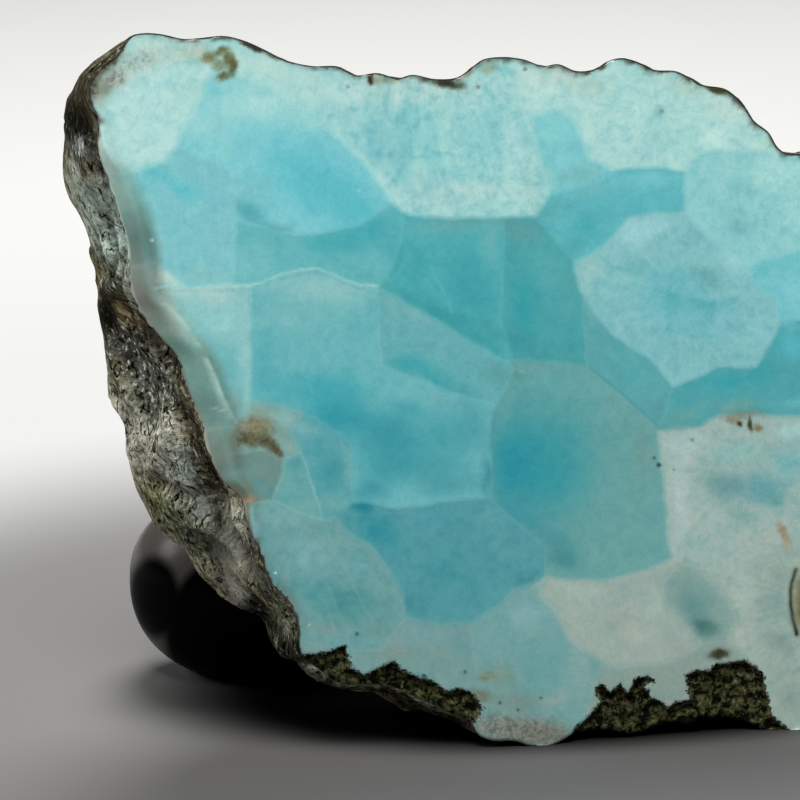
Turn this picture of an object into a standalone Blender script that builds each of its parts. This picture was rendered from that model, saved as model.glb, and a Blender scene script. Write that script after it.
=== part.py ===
"""A polished slab of larimar that stands on its lower edge and leans back on a small black rest.

Run with: blender --background --python part.py

All sizes are in millimetres and become metres when a mesh is made. The stone is built around its
polished face: across runs to the right, along runs up the face, and depth runs into the stone.
Outlines are lists of (right, up) in millimetres, as they are seen from a viewpoint a little to the
left of the face and above it, counted from the middle of the view. Where a third number is given, it
is the depth in the stone at which that line lies. Each point is carried along its sight line onto
the stone, so the slab shows exactly this outline from that viewpoint.
"""

import math

import bmesh
import bpy
import numpy as np
from mathutils import Vector, geometry, noise

MM = 0.001

# Driving dimensions, mm and radians
THICKNESS = 17.5
LEAN = math.radians(9.5)
FACE_MIDDLE = np.array([-16.8, -13.9, 35.35])
VIEW_TURN = math.radians(10.5)
VIEW_RISE = math.radians(15.0)
VIEW_DISTANCE = 444.0
STONE_CENTRE = np.array([16.0, 1.0])

# Top edge of the polished face, from the left corner to the right
TOP_EDGE = [
    (-26.7, 36.5), (-25.5, 36.7), (-24.0, 36.6), (-21.5, 36.1), (-20.0, 36.2), (-17.5, 36.4),
    (-15.5, 35.9), (-13.5, 35.0), (-11.5, 34.0), (-8.8, 33.4), (-6.0, 33.3), (-4.5, 32.5),
    (-2.3, 32.7), (0.0, 32.2), (1.0, 32.5), (3.5, 32.1), (5.8, 32.3), (7.0, 33.1), (8.2, 34.0),
    (10.0, 34.3), (12.2, 34.1), (14.5, 33.4), (15.7, 33.6), (17.6, 32.9), (19.5, 33.1),
    (20.8, 33.9), (22.2, 34.2), (23.5, 33.9), (25.5, 33.0), (27.5, 32.9), (30.3, 31.5),
    (32.5, 31.1), (34.2, 29.7), (35.4, 27.9), (36.8, 26.8), (37.9, 25.1), (38.5, 24.7),
    (40.0, 24.6),
]
# Right end of the face
RIGHT_END = [
    (42.8, 24.2), (45.8, 22.7), (48.0, 20.2), (52.0, 17.8), (54.8, 13.6), (56.4, 8.8),
    (58.0, 4.6), (58.4, 0.0), (57.8, -5.6), (56.0, -11.4), (53.9, -15.2), (52.7, -19.8),
    (49.6, -24.4), (46.2, -28.0), (44.2, -31.0), (41.8, -33.0),
]
# Lower edge of the face, from right to left: two feet with an arch between them
BOTTOM_EDGE = [
    (40.0, -33.4), (39.2, -33.8), (38.4, -33.8), (36.5, -33.1), (34.5, -32.1), (32.0, -31.8),
    (30.0, -31.9), (28.5, -32.5), (26.8, -32.2), (25.5, -32.6), (24.2, -33.2), (22.2, -33.4),
    (20.5, -33.0), (19.0, -33.1), (17.5, -33.3), (16.2, -34.0), (14.5, -34.8), (13.4, -34.7),
    (11.5, -34.1), (9.0, -34.0), (8.0, -33.6),
]
# Left edge of the polished face, from the bottom up
LEFT_FACE = [
    (7.0, -31.9), (5.0, -31.3), (3.0, -30.5), (1.0, -29.7), (-0.5, -28.9), (-3.0, -28.6),
    (-6.0, -28.5), (-8.2, -27.0), (-10.0, -25.2), (-10.2, -23.0), (-11.0, -20.5),
    (-13.0, -18.2), (-14.1, -15.0), (-14.7, -12.0), (-14.8, -10.0), (-16.0, -8.0),
    (-16.8, -4.5), (-16.6, -2.3), (-17.7, 0.2), (-18.8, 3.0), (-20.3, 5.8), (-22.0, 8.2),
    (-23.8, 10.0), (-24.6, 11.7), (-25.0, 15.0), (-26.0, 18.8), (-27.2, 22.0), (-29.0, 24.5),
    (-29.8, 27.5), (-30.9, 29.7), (-31.1, 31.2), (-30.3, 32.7), (-28.2, 34.5),
]
# Where the ground, rounded edge of the face ends and the rough rind begins, from the bottom up
LEFT_SHOULDER = [
    (7.0, -32.3, 0.8), (3.0, -31.0, 1.0), (-0.5, -29.5, 1.0), (-5.5, -29.0, 1.0),
    (-8.8, -27.8, 1.2), (-10.8, -25.5, 1.5), (-11.5, -22.5, 1.5), (-13.8, -19.5, 1.5),
    (-15.0, -15.5, 1.5), (-15.5, -12.0, 1.5), (-15.8, -10.0, 1.5), (-17.8, -8.0, 2.0),
    (-19.2, -5.0, 2.5), (-20.0, -2.0, 2.5), (-21.2, 0.8, 2.5), (-22.5, 4.5, 2.5),
    (-24.5, 6.8, 2.5), (-26.5, 9.7, 2.5), (-27.1, 12.0, 2.5), (-27.2, 15.0, 2.5),
    (-28.2, 18.8, 2.5), (-29.2, 22.0, 2.3), (-30.2, 24.8, 2.0), (-30.8, 27.2, 1.5),
    (-31.6, 29.6, 1.2), (-31.8, 31.2, 1.0), (-30.8, 33.2, 1.0), (-28.5, 35.0, 1.0),
]
# Widest line of the rough rind, from the bottom up
LEFT_RIND = [
    (7.0, -33.2, 2.0), (4.5, -32.0, 3.5), (1.5, -31.1, 5.0), (0.2, -31.3, 6.0),
    (-1.5, -30.2, 7.0), (-3.8, -29.0, 8.5), (-6.5, -28.2, 9.5), (-9.8, -27.0, 10.5),
    (-12.5, -25.5, 11.5), (-14.8, -22.2, 12.0), (-17.5, -20.2, 12.5), (-20.0, -17.8, 13.0),
    (-21.5, -15.3, 13.0), (-24.0, -13.2, 13.0), (-25.9, -10.0, 13.0), (-27.0, -7.2, 13.0),
    (-27.7, -5.0, 13.0), (-28.1, -2.0, 13.0), (-28.9, -0.5, 13.0), (-29.3, 2.5, 13.0),
    (-30.0, 6.0, 13.0), (-30.6, 9.5, 13.0), (-30.2, 12.0, 13.0), (-31.2, 15.0, 13.0),
    (-32.2, 18.5, 13.0), (-33.3, 20.5, 13.0), (-33.7, 22.5, 12.0), (-33.8, 25.5, 12.0),
    (-33.8, 28.5, 11.0), (-33.3, 30.8, 10.0), (-31.8, 32.8, 9.0), (-29.0, 35.0, 8.0),
]
EDGE_DEPTH = 0.8
EDGE_RUN_POWER = 0.8
EDGE_SINK_POWER = 1.3
BARE_GIRTH_DEPTH = 8.0
LEAST_RIND_DEPTH = 1.0
TOP_INSET = 0.15
RIGHT_FLARE = 2.0

# Rough matrix left in the lower edge of the face, sunk a little below the polish
POCKETS = [
    [
        (-10.0, -25.5), (-7.5, -25.3), (-5.5, -24.5), (-4.8, -26.8), (-3.5, -27.5),
        (-2.0, -26.7), (-0.5, -26.0), (0.0, -26.8), (2.0, -27.8), (3.5, -28.2), (4.7, -29.1),
        (6.0, -28.8), (7.0, -29.2), (7.8, -30.0), (8.3, -30.8), (7.6, -32.2), (3.0, -32.0),
        (-0.5, -30.5), (-6.0, -30.0), (-11.0, -27.0),
    ],
    [
        (16.5, -34.5), (17.5, -32.8), (19.0, -31.5), (20.0, -30.2), (19.5, -28.8),
        (20.3, -28.4), (21.0, -29.2), (22.0, -28.4), (22.8, -29.2), (23.6, -27.8),
        (24.8, -27.6), (25.5, -28.1), (24.5, -28.6), (25.2, -29.8), (26.2, -30.2),
        (27.0, -30.8), (27.2, -34.0), (20.0, -35.0),
    ],
    [
        (26.6, -31.0), (27.5, -30.2), (29.0, -30.0), (28.8, -28.8), (28.5, -27.5),
        (29.8, -27.0), (31.0, -27.1), (31.6, -26.4), (34.5, -26.0), (35.7, -26.8),
        (36.5, -27.8), (36.5, -29.0), (37.0, -30.0), (37.2, -31.5), (38.0, -32.2),
        (39.5, -33.5), (39.5, -35.0), (26.6, -34.5),
    ],
]
POCKET_DEPTH = 0.55
POCKET_GRAIN = 0.35
POCKET_GRAINS_PER_MM = 0.9
POCKET_GRAIN_LAYER = 3.0
POCKET_SLOPE = 0.6
POCKET_REACH = 3.0
POCKET_GRID = 1.0
POCKET_CLEARANCE = 0.6
POCKET_RIM = 1.5

# Hand-placed forms of the rind: (right, up, half length, half width, tilt in degrees, height)
RIND_FORMS = [
    (-32.4, 27.6, 3.6, 1.0, 95.0, -0.8),
    (-31.0, 21.4, 3.4, 0.7, 112.0, 0.7),
    (-29.6, 17.6, 3.6, 0.6, 108.0, -0.9),
    (-28.9, 11.5, 1.8, 0.9, 10.0, 0.6),
    (-28.9, 8.4, 2.1, 1.5, 100.0, -1.5),
    (-26.8, 4.0, 3.0, 0.9, 125.0, -1.2),
    (-24.4, 0.9, 3.2, 0.8, 130.0, -1.0),
    (-24.3, -4.7, 3.0, 2.2, 105.0, 0.8),
    (-23.0, -9.2, 2.8, 0.6, 150.0, -1.1),
    (-21.0, -12.8, 2.6, 1.6, 130.0, 0.6),
    (-18.2, -15.6, 3.0, 0.7, 132.0, -1.1),
    (-16.4, -18.6, 2.6, 1.1, 130.0, 0.5),
    (-13.4, -22.8, 2.6, 1.4, 135.0, -1.2),
    (-8.8, -27.4, 2.8, 0.6, 160.0, -0.8),
    (-1.5, -29.4, 2.6, 0.5, 160.0, -0.6),
]

# Relief of the rind, mm. A layer picks one of the noise's many patterns.
LEDGE_DEPTH = 1.6
LUMP_DEPTH = 1.0
LEDGE_PITCH = 3.6
LEDGE_LENGTH = 15.0
LEDGE_WANDER = 1.6
LEDGE_SHARPNESS = 2.2
LEDGE_LEVEL = 0.9
LEDGE_LAYER = 7.0
LUMP_SIZE = 6.5
LUMP_LAYER = 21.0
RELIEF_CEILING = 0.12
FORMS_CEILING = 0.36
BARE_ROUGHNESS = 0.45
FULL_ROUGHNESS_FLARE = 4.0
RELIEF_START = 1.8
GIRTH_CALM = 0.75
GIRTH_CALM_WIDTH = 1.6

BACK_TAPER = 1.4
BACK_BEVEL = 0.8
BACK_SMOOTHING = 0.07
UNDERSIDE_RISE = 0.42
UNDERSIDE_START = 2.0
RIGHT_FOOT_ACROSS = 40.0
RIGHT_FOOT_REACH = 9.0
RIGHT_FOOT_RISE = 0.22

# Mesh sizes of the slab
COLUMNS = 196
EDGE_RINGS = 3
FLARE_RINGS = 6
BACK_RINGS = 5
CURVE_STEPS = 8
FILL_TOLERANCE = 1e-7
SHARP_ANGLE = math.radians(40.0)

# The black rest, mm: half sizes, place of its middle, and how square its section is
REST_HALF = np.array([11.8, 9.8, 10.2])
REST_MIDDLE = np.array([-29.5, 9.9, 9.7])
REST_TURN = math.radians(-14.0)
REST_FULLNESS = 0.9
REST_LUMP = 0.35
REST_LUMP_SIZE = 9.0
REST_COLUMNS = 36
REST_ROWS = 20
GAP = 0.3

STONE_COLOUR = (0.24, 0.60, 0.66)
STONE_ROUGHNESS = 0.22
REST_COLOUR = (0.006, 0.006, 0.006)
REST_ROUGHNESS = 0.06


def unit(*values):
    """A direction of length 1."""
    vector = np.array(values, dtype=float)
    return vector / np.linalg.norm(vector)


ACROSS = unit(1.0, 0.0, 0.0)
ALONG = unit(0.0, math.sin(LEAN), math.cos(LEAN))
INWARD = unit(0.0, math.cos(LEAN), -math.sin(LEAN))
VIEW_RIGHT = unit(math.cos(VIEW_TURN), -math.sin(VIEW_TURN), 0.0)
VIEW_BACK = unit(
    -math.sin(VIEW_TURN) * math.cos(VIEW_RISE),
    -math.cos(VIEW_TURN) * math.cos(VIEW_RISE),
    math.sin(VIEW_RISE),
)
VIEW_UP = np.cross(VIEW_BACK, VIEW_RIGHT)


def seen_to_stone(seen, depth):
    """Carries points seen in the view along their sight lines to a depth in the stone."""
    eye = VIEW_BACK * VIEW_DISTANCE
    sight = seen[:, :1] * VIEW_RIGHT + seen[:, 1:2] * VIEW_UP - eye
    reach = (depth - eye @ INWARD) / (sight @ INWARD)
    place = eye + sight * reach[:, None]
    return np.column_stack([place @ ACROSS, place @ ALONG])


def stone_to_seen(flat, depth):
    """Where points of the stone are seen in the view."""
    place = flat[:, :1] * ACROSS + flat[:, 1:2] * ALONG + depth[:, None] * INWARD
    scale = VIEW_DISTANCE / (VIEW_DISTANCE - place @ VIEW_BACK)
    return np.column_stack([place @ VIEW_RIGHT * scale, place @ VIEW_UP * scale])


def stone_to_world(flat, depth):
    """Points of the stone in the part's own frame, standing on the floor."""
    return FACE_MIDDLE + flat[:, :1] * ACROSS + flat[:, 1:2] * ALONG + depth[:, None] * INWARD


def closed_curve(points):
    """A smooth closed curve through the points, whatever their spacing."""
    here = np.array(points, dtype=float)
    after = np.roll(here, -1, axis=0)
    length_after = np.linalg.norm((after - here)[:, :2], axis=1)[:, None]
    slope_after = (after - here) / length_after
    length_before = np.roll(length_after, 1, axis=0)
    slope_before = np.roll(slope_after, 1, axis=0)
    slope = slope_after * length_before + slope_before * length_after
    slope /= length_before + length_after
    slope_next = np.roll(slope, -1, axis=0)
    pieces = []
    for step in range(CURVE_STEPS):
        t = step / CURVE_STEPS
        pieces.append(
            here * (2 * t**3 - 3 * t**2 + 1)
            + after * (3 * t**2 - 2 * t**3)
            + slope * length_after * (t**3 - 2 * t**2 + t)
            + slope_next * length_after * (t**3 - t**2)
        )
    return np.stack(pieces, axis=1).reshape(-1, here.shape[1])


def with_depth(edge, depth, offset=0.0):
    """The points of an edge at a depth, moved out from the middle of the stone by an offset."""
    points = np.array(edge, dtype=float)
    outward = points - STONE_CENTRE
    outward /= np.linalg.norm(outward, axis=1)[:, None]
    points = points + outward * offset
    return [(x, y, depth) for x, y in points]


class Line:
    """A closed line round the stone, as its radius and depth at each bearing from the centre."""

    def __init__(self, points):
        curve = closed_curve(points)
        flat = seen_to_stone(curve[:, :2], curve[:, 2]) - STONE_CENTRE
        bearing = np.arctan2(flat[:, 1], flat[:, 0])
        order = np.argsort(bearing)
        self.bearing = bearing[order]
        self.radius = np.linalg.norm(flat, axis=1)[order]
        self.depth = curve[order, 2]

    def at(self, bearing):
        radius = np.interp(bearing, self.bearing, self.radius, period=math.tau)
        depth = np.interp(bearing, self.bearing, self.depth, period=math.tau)
        return radius, depth


def slab_lines():
    """The edge of the face, the shoulder where the rind starts, and the widest line."""
    bare = TOP_EDGE + RIGHT_END + BOTTOM_EDGE
    face = Line(with_depth(bare + LEFT_FACE, 0.0))
    shoulder = Line(with_depth(bare, EDGE_DEPTH) + LEFT_SHOULDER)
    girth = Line(
        with_depth(TOP_EDGE, BARE_GIRTH_DEPTH, -TOP_INSET)
        + with_depth(RIGHT_END, BARE_GIRTH_DEPTH, RIGHT_FLARE)
        + with_depth(BOTTOM_EDGE, UNDERSIDE_START)
        + LEFT_RIND
    )
    return face, shoulder, girth


def column_bearings(girth, count):
    """Bearings that space the columns evenly along the widest line."""
    x = girth.radius * np.cos(girth.bearing)
    y = girth.radius * np.sin(girth.bearing)
    steps = np.hypot(np.diff(x, append=x[0]), np.diff(y, append=y[0]))
    travelled = np.concatenate([[0.0], np.cumsum(steps)])
    bearings = np.append(girth.bearing, girth.bearing[0] + math.tau)
    return np.interp(np.arange(count) * travelled[-1] / count, travelled, bearings)


def polygon_distance(points, polygon):
    """Signed distance of each point to a polygon, positive inside."""
    corners = np.array(polygon, dtype=float)
    ends = np.roll(corners, -1, axis=0)
    nearest = np.full(len(points), np.inf)
    inside = np.zeros(len(points), dtype=bool)
    for start, end in zip(corners, ends):
        side = end - start
        offset = points - start
        share = np.clip(offset @ side / (side @ side), 0.0, 1.0)
        nearest = np.minimum(nearest, np.linalg.norm(offset - share[:, None] * side, axis=1))
        crosses = (start[1] > points[:, 1]) != (end[1] > points[:, 1])
        rise = side[1] if side[1] else 1.0
        inside ^= crosses & (points[:, 0] < start[0] + side[0] * (points[:, 1] - start[1]) / rise)
    return np.where(inside, nearest, -nearest)


def rough(x, y, z):
    """Smooth noise at many points, about -1 to 1."""
    return np.array([noise.noise(Vector(p)) for p in zip(x, y, z)])


def pocket_depth(seen):
    """How far the matrix pockets sink the face at points of the view."""
    inside = np.max([polygon_distance(seen, pocket) for pocket in POCKETS], axis=0)
    share = np.clip(inside / POCKET_SLOPE, 0.0, 1.0)
    x, y = seen.T * POCKET_GRAINS_PER_MM
    grain = rough(x, y, np.full(len(seen), POCKET_GRAIN_LAYER))
    return share * (POCKET_DEPTH + POCKET_GRAIN * grain)


def rind_forms(seen):
    """Hollows and bosses that are placed by hand on the left rind."""
    total = np.zeros(len(seen))
    for right, up, half_length, half_width, tilt, height in RIND_FORMS:
        turn = math.radians(tilt)
        x = seen[:, 0] - right
        y = seen[:, 1] - up
        lengthwise = (x * math.cos(turn) + y * math.sin(turn)) / half_length
        crosswise = (y * math.cos(turn) - x * math.sin(turn)) / half_width
        total += height * np.exp(-(lengthwise**2) - crosswise**2)
    return total


def rind_relief(bearing, radius, depth):
    """Ledges that run along the rim of the stone, and lumps, all below a ceiling."""
    turn_x = np.cos(bearing) * radius
    turn_y = np.sin(bearing) * radius
    along_x = turn_x / LEDGE_LENGTH
    along_y = turn_y / LEDGE_LENGTH
    wander = rough(along_x, along_y, depth / THICKNESS + LEDGE_LAYER)
    ledge = rough(along_x, along_y, depth / LEDGE_PITCH + LEDGE_WANDER * wander)
    crest = 1.0 - np.abs(ledge) * LEDGE_SHARPNESS
    lump = rough(turn_x / LUMP_SIZE, turn_y / LUMP_SIZE, depth / LUMP_SIZE + LUMP_LAYER)
    relief = LEDGE_DEPTH * (crest - LEDGE_LEVEL) + LUMP_DEPTH * lump
    return np.minimum(relief, RELIEF_CEILING)


def underside_lift(flat, depth, girth_depth, bearing):
    """How far the underside rises behind its lowest line, least above the deep right foot."""
    facing_down = np.clip(-np.sin(bearing), 0.0, 1.0) ** 2
    near_foot = np.exp(-(((flat[:, 0] - RIGHT_FOOT_ACROSS) / RIGHT_FOOT_REACH) ** 2))
    rise = UNDERSIDE_RISE + (RIGHT_FOOT_RISE - UNDERSIDE_RISE) * near_foot
    return rise * facing_down * np.maximum(depth - girth_depth, 0.0)


def slab_rings(bearing):
    """Rings of points from the edge of the face to the edge of the back, as flat places and depths."""
    face, shoulder, girth = slab_lines()
    face_radius, _ = face.at(bearing)
    shoulder_radius, shoulder_depth = shoulder.at(bearing)
    girth_radius, girth_depth = girth.at(bearing)
    girth_depth = np.maximum(girth_depth, shoulder_depth + LEAST_RIND_DEPTH)
    around = [girth.at(bearing + step * BACK_SMOOTHING)[0] for step in range(-2, 3)]
    back_radius = np.mean(around, axis=0) - BACK_TAPER
    roughness = np.clip((girth_radius - face_radius) / FULL_ROUGHNESS_FLARE, BARE_ROUGHNESS, 1.0)
    profile = []
    for step in range(EDGE_RINGS + 1):
        share = step / EDGE_RINGS
        radius = face_radius + (shoulder_radius - face_radius) * share**EDGE_RUN_POWER
        profile.append((radius, shoulder_depth * share**EDGE_SINK_POWER))
    for step in range(1, FLARE_RINGS + 1):
        share = step / FLARE_RINGS
        radius = shoulder_radius + (girth_radius - shoulder_radius) * math.sin(share * math.pi / 2)
        profile.append((radius, shoulder_depth + (girth_depth - shoulder_depth) * share))
    edge_depth = THICKNESS - BACK_BEVEL
    for step in range(1, BACK_RINGS + 1):
        share = step / BACK_RINGS
        radius = back_radius + (girth_radius - back_radius) * math.cos(share * math.pi / 2)
        profile.append((radius, girth_depth + (edge_depth - girth_depth) * share))
    profile.append((back_radius - BACK_BEVEL, np.full(len(bearing), THICKNESS)))

    outward = np.column_stack([np.cos(bearing), np.sin(bearing)])
    on_left = np.cos(bearing) < 0.0
    rings = []
    for radius, depth in profile:
        started = np.clip((depth - shoulder_depth) / RELIEF_START, 0.0, 1.0)
        kept = 1.0 - GIRTH_CALM * np.exp(-(((depth - girth_depth) / GIRTH_CALM_WIDTH) ** 2))
        relief = rind_relief(bearing, girth_radius, depth) * roughness * kept
        flat = STONE_CENTRE + outward * radius[:, None]
        relief = relief + np.where(on_left, rind_forms(stone_to_seen(flat, depth)), 0.0)
        radius = radius + np.minimum(relief, FORMS_CEILING) * started
        flat = STONE_CENTRE + outward * radius[:, None]
        flat[:, 1] += underside_lift(flat, depth, girth_depth, bearing)
        near_face = np.clip(1.0 - depth / POCKET_REACH, 0.0, 1.0)
        rings.append((flat, depth + pocket_depth(stone_to_seen(flat, depth)) * near_face))
    return rings


def stand_on_floor(places):
    """Flattens the feet of the stone onto the floor."""
    places[:, 2] = np.maximum(places[:, 2], 0.0)
    return places


def fill_outline(outline, inner):
    """Triangles that fill a closed outline, using the inner points, as indices into both."""
    points = [Vector(p) for p in np.vstack([outline, inner])]
    loop = list(range(len(outline)))
    result = geometry.delaunay_2d_cdt(points, [], [loop], 1, FILL_TOLERANCE)
    kept = [origins[0] for origins in result[3]]
    return [[kept[i] for i in face] for face in result[2]]


def pocket_points(outline):
    """A grid of points in the matrix pockets, clear of the outline of the face."""
    low = outline.min(axis=0)
    high = outline.max(axis=0)
    x, y = np.meshgrid(
        np.arange(low[0], high[0], POCKET_GRID),
        np.arange(low[1], high[1], POCKET_GRID),
    )
    x = x + np.where(np.arange(len(y))[:, None] % 2, POCKET_GRID / 2, 0.0)
    grid = np.column_stack([x.ravel(), y.ravel()])
    seen = stone_to_seen(grid, np.zeros(len(grid)))
    near = np.max([polygon_distance(seen, pocket) for pocket in POCKETS], axis=0) > -POCKET_RIM
    clear = polygon_distance(grid, outline) > POCKET_CLEARANCE
    return grid[near & clear]


def new_object(name, places, faces, material):
    """Makes an object from places in millimetres."""
    mesh = bpy.data.meshes.new(name)
    mesh.from_pydata([tuple(p * MM) for p in places], [], [tuple(f) for f in faces])
    shape = bmesh.new()
    shape.from_mesh(mesh)
    bmesh.ops.recalc_face_normals(shape, faces=shape.faces)
    shape.to_mesh(mesh)
    shape.free()
    mesh.materials.append(material)
    mesh.shade_smooth()
    mesh.set_sharp_from_angle(angle=SHARP_ANGLE)
    made = bpy.data.objects.new(name, mesh)
    bpy.context.scene.collection.objects.link(made)
    return made


def principled(name, colour, roughness):
    """A plain material with one colour."""
    material = bpy.data.materials.new(name)
    material.use_nodes = True
    shader = material.node_tree.nodes["Principled BSDF"]
    shader.inputs["Base Color"].default_value = (*colour, 1.0)
    shader.inputs["Roughness"].default_value = roughness
    shader.inputs["Metallic"].default_value = 0.0
    return material


def make_slab():
    """The stone: polished face, ground edge, rough rind, matrix pockets and sawn back."""
    girth = slab_lines()[2]
    bearing = column_bearings(girth, COLUMNS)
    rings = slab_rings(bearing)
    places = [stand_on_floor(stone_to_world(flat, depth)) for flat, depth in rings]
    faces = []
    for ring in range(len(rings) - 1):
        for column in range(COLUMNS):
            beside = (column + 1) % COLUMNS
            start = ring * COLUMNS
            below = start + COLUMNS
            faces.append([start + column, start + beside, below + beside, below + column])

    outline = rings[0][0]
    inner = pocket_points(outline)
    sink = pocket_depth(stone_to_seen(inner, np.zeros(len(inner))))
    first_inner = len(rings) * COLUMNS
    places.append(stone_to_world(inner, sink))
    for triangle in fill_outline(outline, inner):
        faces.append([i if i < COLUMNS else i - COLUMNS + first_inner for i in triangle])
    last_ring = (len(rings) - 1) * COLUMNS
    faces.append([last_ring + column for column in range(COLUMNS)])
    stone = principled("larimar_stone", STONE_COLOUR, STONE_ROUGHNESS)
    return new_object("larimar_slab", np.vstack(places), faces, stone)


def slab_back_y(height):
    """The y of the slab's flat back at a height above the floor."""
    along = (height - FACE_MIDDLE[2] - THICKNESS * INWARD[2]) / ALONG[2]
    return FACE_MIDDLE[1] + along * ALONG[1] + THICKNESS * INWARD[1]


def make_rest():
    """A smooth black pebble with a flat foot, just clear of the back of the slab."""
    places = []
    for row in range(1, REST_ROWS):
        polar = math.pi * row / REST_ROWS
        ring = math.sin(polar) ** REST_FULLNESS
        height = math.copysign(abs(math.cos(polar)) ** REST_FULLNESS, math.cos(polar))
        for column in range(REST_COLUMNS):
            turn = math.tau * column / REST_COLUMNS
            way = np.array([math.cos(turn) * ring, math.sin(turn) * ring, height])
            places.append(way * REST_HALF)
    places.append(np.array([0.0, 0.0, REST_HALF[2]]))
    places.append(np.array([0.0, 0.0, -REST_HALF[2]]))
    places = np.array(places)
    lumps = rough(*(places / REST_LUMP_SIZE).T)
    places = places * (1.0 + lumps[:, None] * REST_LUMP / REST_HALF)
    turned = places.copy()
    turned[:, 0] = places[:, 0] * math.cos(REST_TURN) - places[:, 1] * math.sin(REST_TURN)
    turned[:, 1] = places[:, 0] * math.sin(REST_TURN) + places[:, 1] * math.cos(REST_TURN)
    turned += REST_MIDDLE
    turned[:, 2] = np.maximum(turned[:, 2], 0.0)
    turned[:, 1] = np.maximum(turned[:, 1], slab_back_y(turned[:, 2]) + GAP)

    rows = REST_ROWS - 1
    top = rows * REST_COLUMNS
    bottom = top + 1
    faces = []
    for column in range(REST_COLUMNS):
        beside = (column + 1) % REST_COLUMNS
        faces.append([top, column, beside])
        faces.append([bottom, top - REST_COLUMNS + beside, top - REST_COLUMNS + column])
        for row in range(rows - 1):
            start = row * REST_COLUMNS
            below = start + REST_COLUMNS
            faces.append([start + column, below + column, below + beside, start + beside])
    black = principled("rest_black", REST_COLOUR, REST_ROUGHNESS)
    return new_object("display_rest", turned, faces, black)


def main():
    for old in list(bpy.data.objects):
        bpy.data.objects.remove(old)
    make_slab()
    make_rest()


main()
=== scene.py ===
"""Looks for a polished slab of larimar that leans back on a small glossy black rest.

The stone is made again here as a fine mesh, from the same outlines as its solid, and painted: closed
cells of blue pectolite with pale walls, veins, stains, rough matrix pockets and a dark, streaked rind.
Sizes are in millimetres and become metres when a mesh is made. Outlines and marks are placed by
(right, up) as they are seen from a viewpoint a little to the left of the face and above it, counted
from the middle of the view, and carried along their sight lines onto the stone. Colours are given as
they look on a screen, 0 to 255.
"""

import math
from collections import namedtuple

import bpy
import numpy as np
from mathutils import Matrix, Vector, geometry, noise


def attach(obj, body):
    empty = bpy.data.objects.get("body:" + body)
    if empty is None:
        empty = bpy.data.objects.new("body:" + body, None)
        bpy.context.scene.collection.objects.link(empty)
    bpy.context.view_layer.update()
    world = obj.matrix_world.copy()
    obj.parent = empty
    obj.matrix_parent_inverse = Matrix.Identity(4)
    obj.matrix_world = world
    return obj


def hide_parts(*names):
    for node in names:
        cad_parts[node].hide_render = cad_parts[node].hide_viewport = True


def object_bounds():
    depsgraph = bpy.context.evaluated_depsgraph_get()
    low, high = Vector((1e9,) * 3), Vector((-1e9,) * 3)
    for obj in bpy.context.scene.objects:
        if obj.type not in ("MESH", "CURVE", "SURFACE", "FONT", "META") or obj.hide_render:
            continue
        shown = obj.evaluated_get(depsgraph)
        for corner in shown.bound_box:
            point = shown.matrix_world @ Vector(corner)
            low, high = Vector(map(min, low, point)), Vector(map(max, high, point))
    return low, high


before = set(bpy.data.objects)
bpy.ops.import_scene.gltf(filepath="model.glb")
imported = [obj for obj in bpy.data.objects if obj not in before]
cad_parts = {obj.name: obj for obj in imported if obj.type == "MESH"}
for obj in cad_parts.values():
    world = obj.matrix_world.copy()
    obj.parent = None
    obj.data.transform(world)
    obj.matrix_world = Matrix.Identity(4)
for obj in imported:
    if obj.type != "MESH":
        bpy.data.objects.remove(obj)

CAD_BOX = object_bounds()
MM = 0.001

# The stone's driving dimensions, mm and radians
THICKNESS = 17.5
LEAN = math.radians(9.5)
FACE_MIDDLE = np.array([-16.8, -13.9, 35.35])
VIEW_TURN = math.radians(10.5)
VIEW_RISE = math.radians(15.0)
VIEW_DISTANCE = 444.0
VIEW_WIDTH = 80.0
STONE_CENTRE = np.array([16.0, 1.0])

# Top edge of the polished face, from the left corner to the right
TOP_EDGE = [
    (-26.7, 36.5), (-25.5, 36.7), (-24, 36.6), (-21.5, 36.1), (-20, 36.2), (-17.5, 36.4), (-15.5, 35.9),
    (-13.5, 35), (-11.5, 34), (-8.8, 33.4), (-6, 33.3), (-4.5, 32.5), (-2.3, 32.7), (0, 32.2), (1, 32.5),
    (3.5, 32.1), (5.8, 32.3), (7, 33.1), (8.2, 34), (10, 34.3), (12.2, 34.1), (14.5, 33.4), (15.7, 33.6),
    (17.6, 32.9), (19.5, 33.1), (20.8, 33.9), (22.2, 34.2), (23.5, 33.9), (25.5, 33), (27.5, 32.9),
    (30.3, 31.5), (32.5, 31.1), (34.2, 29.7), (35.4, 27.9), (36.8, 26.8), (37.9, 25.1), (38.5, 24.7),
    (40, 24.6),
]
# Right end of the face
RIGHT_END = [
    (42.8, 24.2), (45.8, 22.7), (48, 20.2), (52, 17.8), (54.8, 13.6), (56.4, 8.8), (58, 4.6), (58.4, 0),
    (57.8, -5.6), (56, -11.4), (53.9, -15.2), (52.7, -19.8), (49.6, -24.4), (46.2, -28), (44.2, -31),
    (41.8, -33),
]
# Lower edge of the face, from right to left: two feet with an arch between them
BOTTOM_EDGE = [
    (40, -33.4), (39.2, -33.8), (38.4, -33.8), (36.5, -33.1), (34.5, -32.1), (32, -31.8), (30, -31.9),
    (28.5, -32.5), (26.8, -32.2), (25.5, -32.6), (24.2, -33.2), (22.2, -33.4), (20.5, -33), (19, -33.1),
    (17.5, -33.3), (16.2, -34), (14.5, -34.8), (13.4, -34.7), (11.5, -34.1), (9, -34), (8, -33.6),
]
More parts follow.
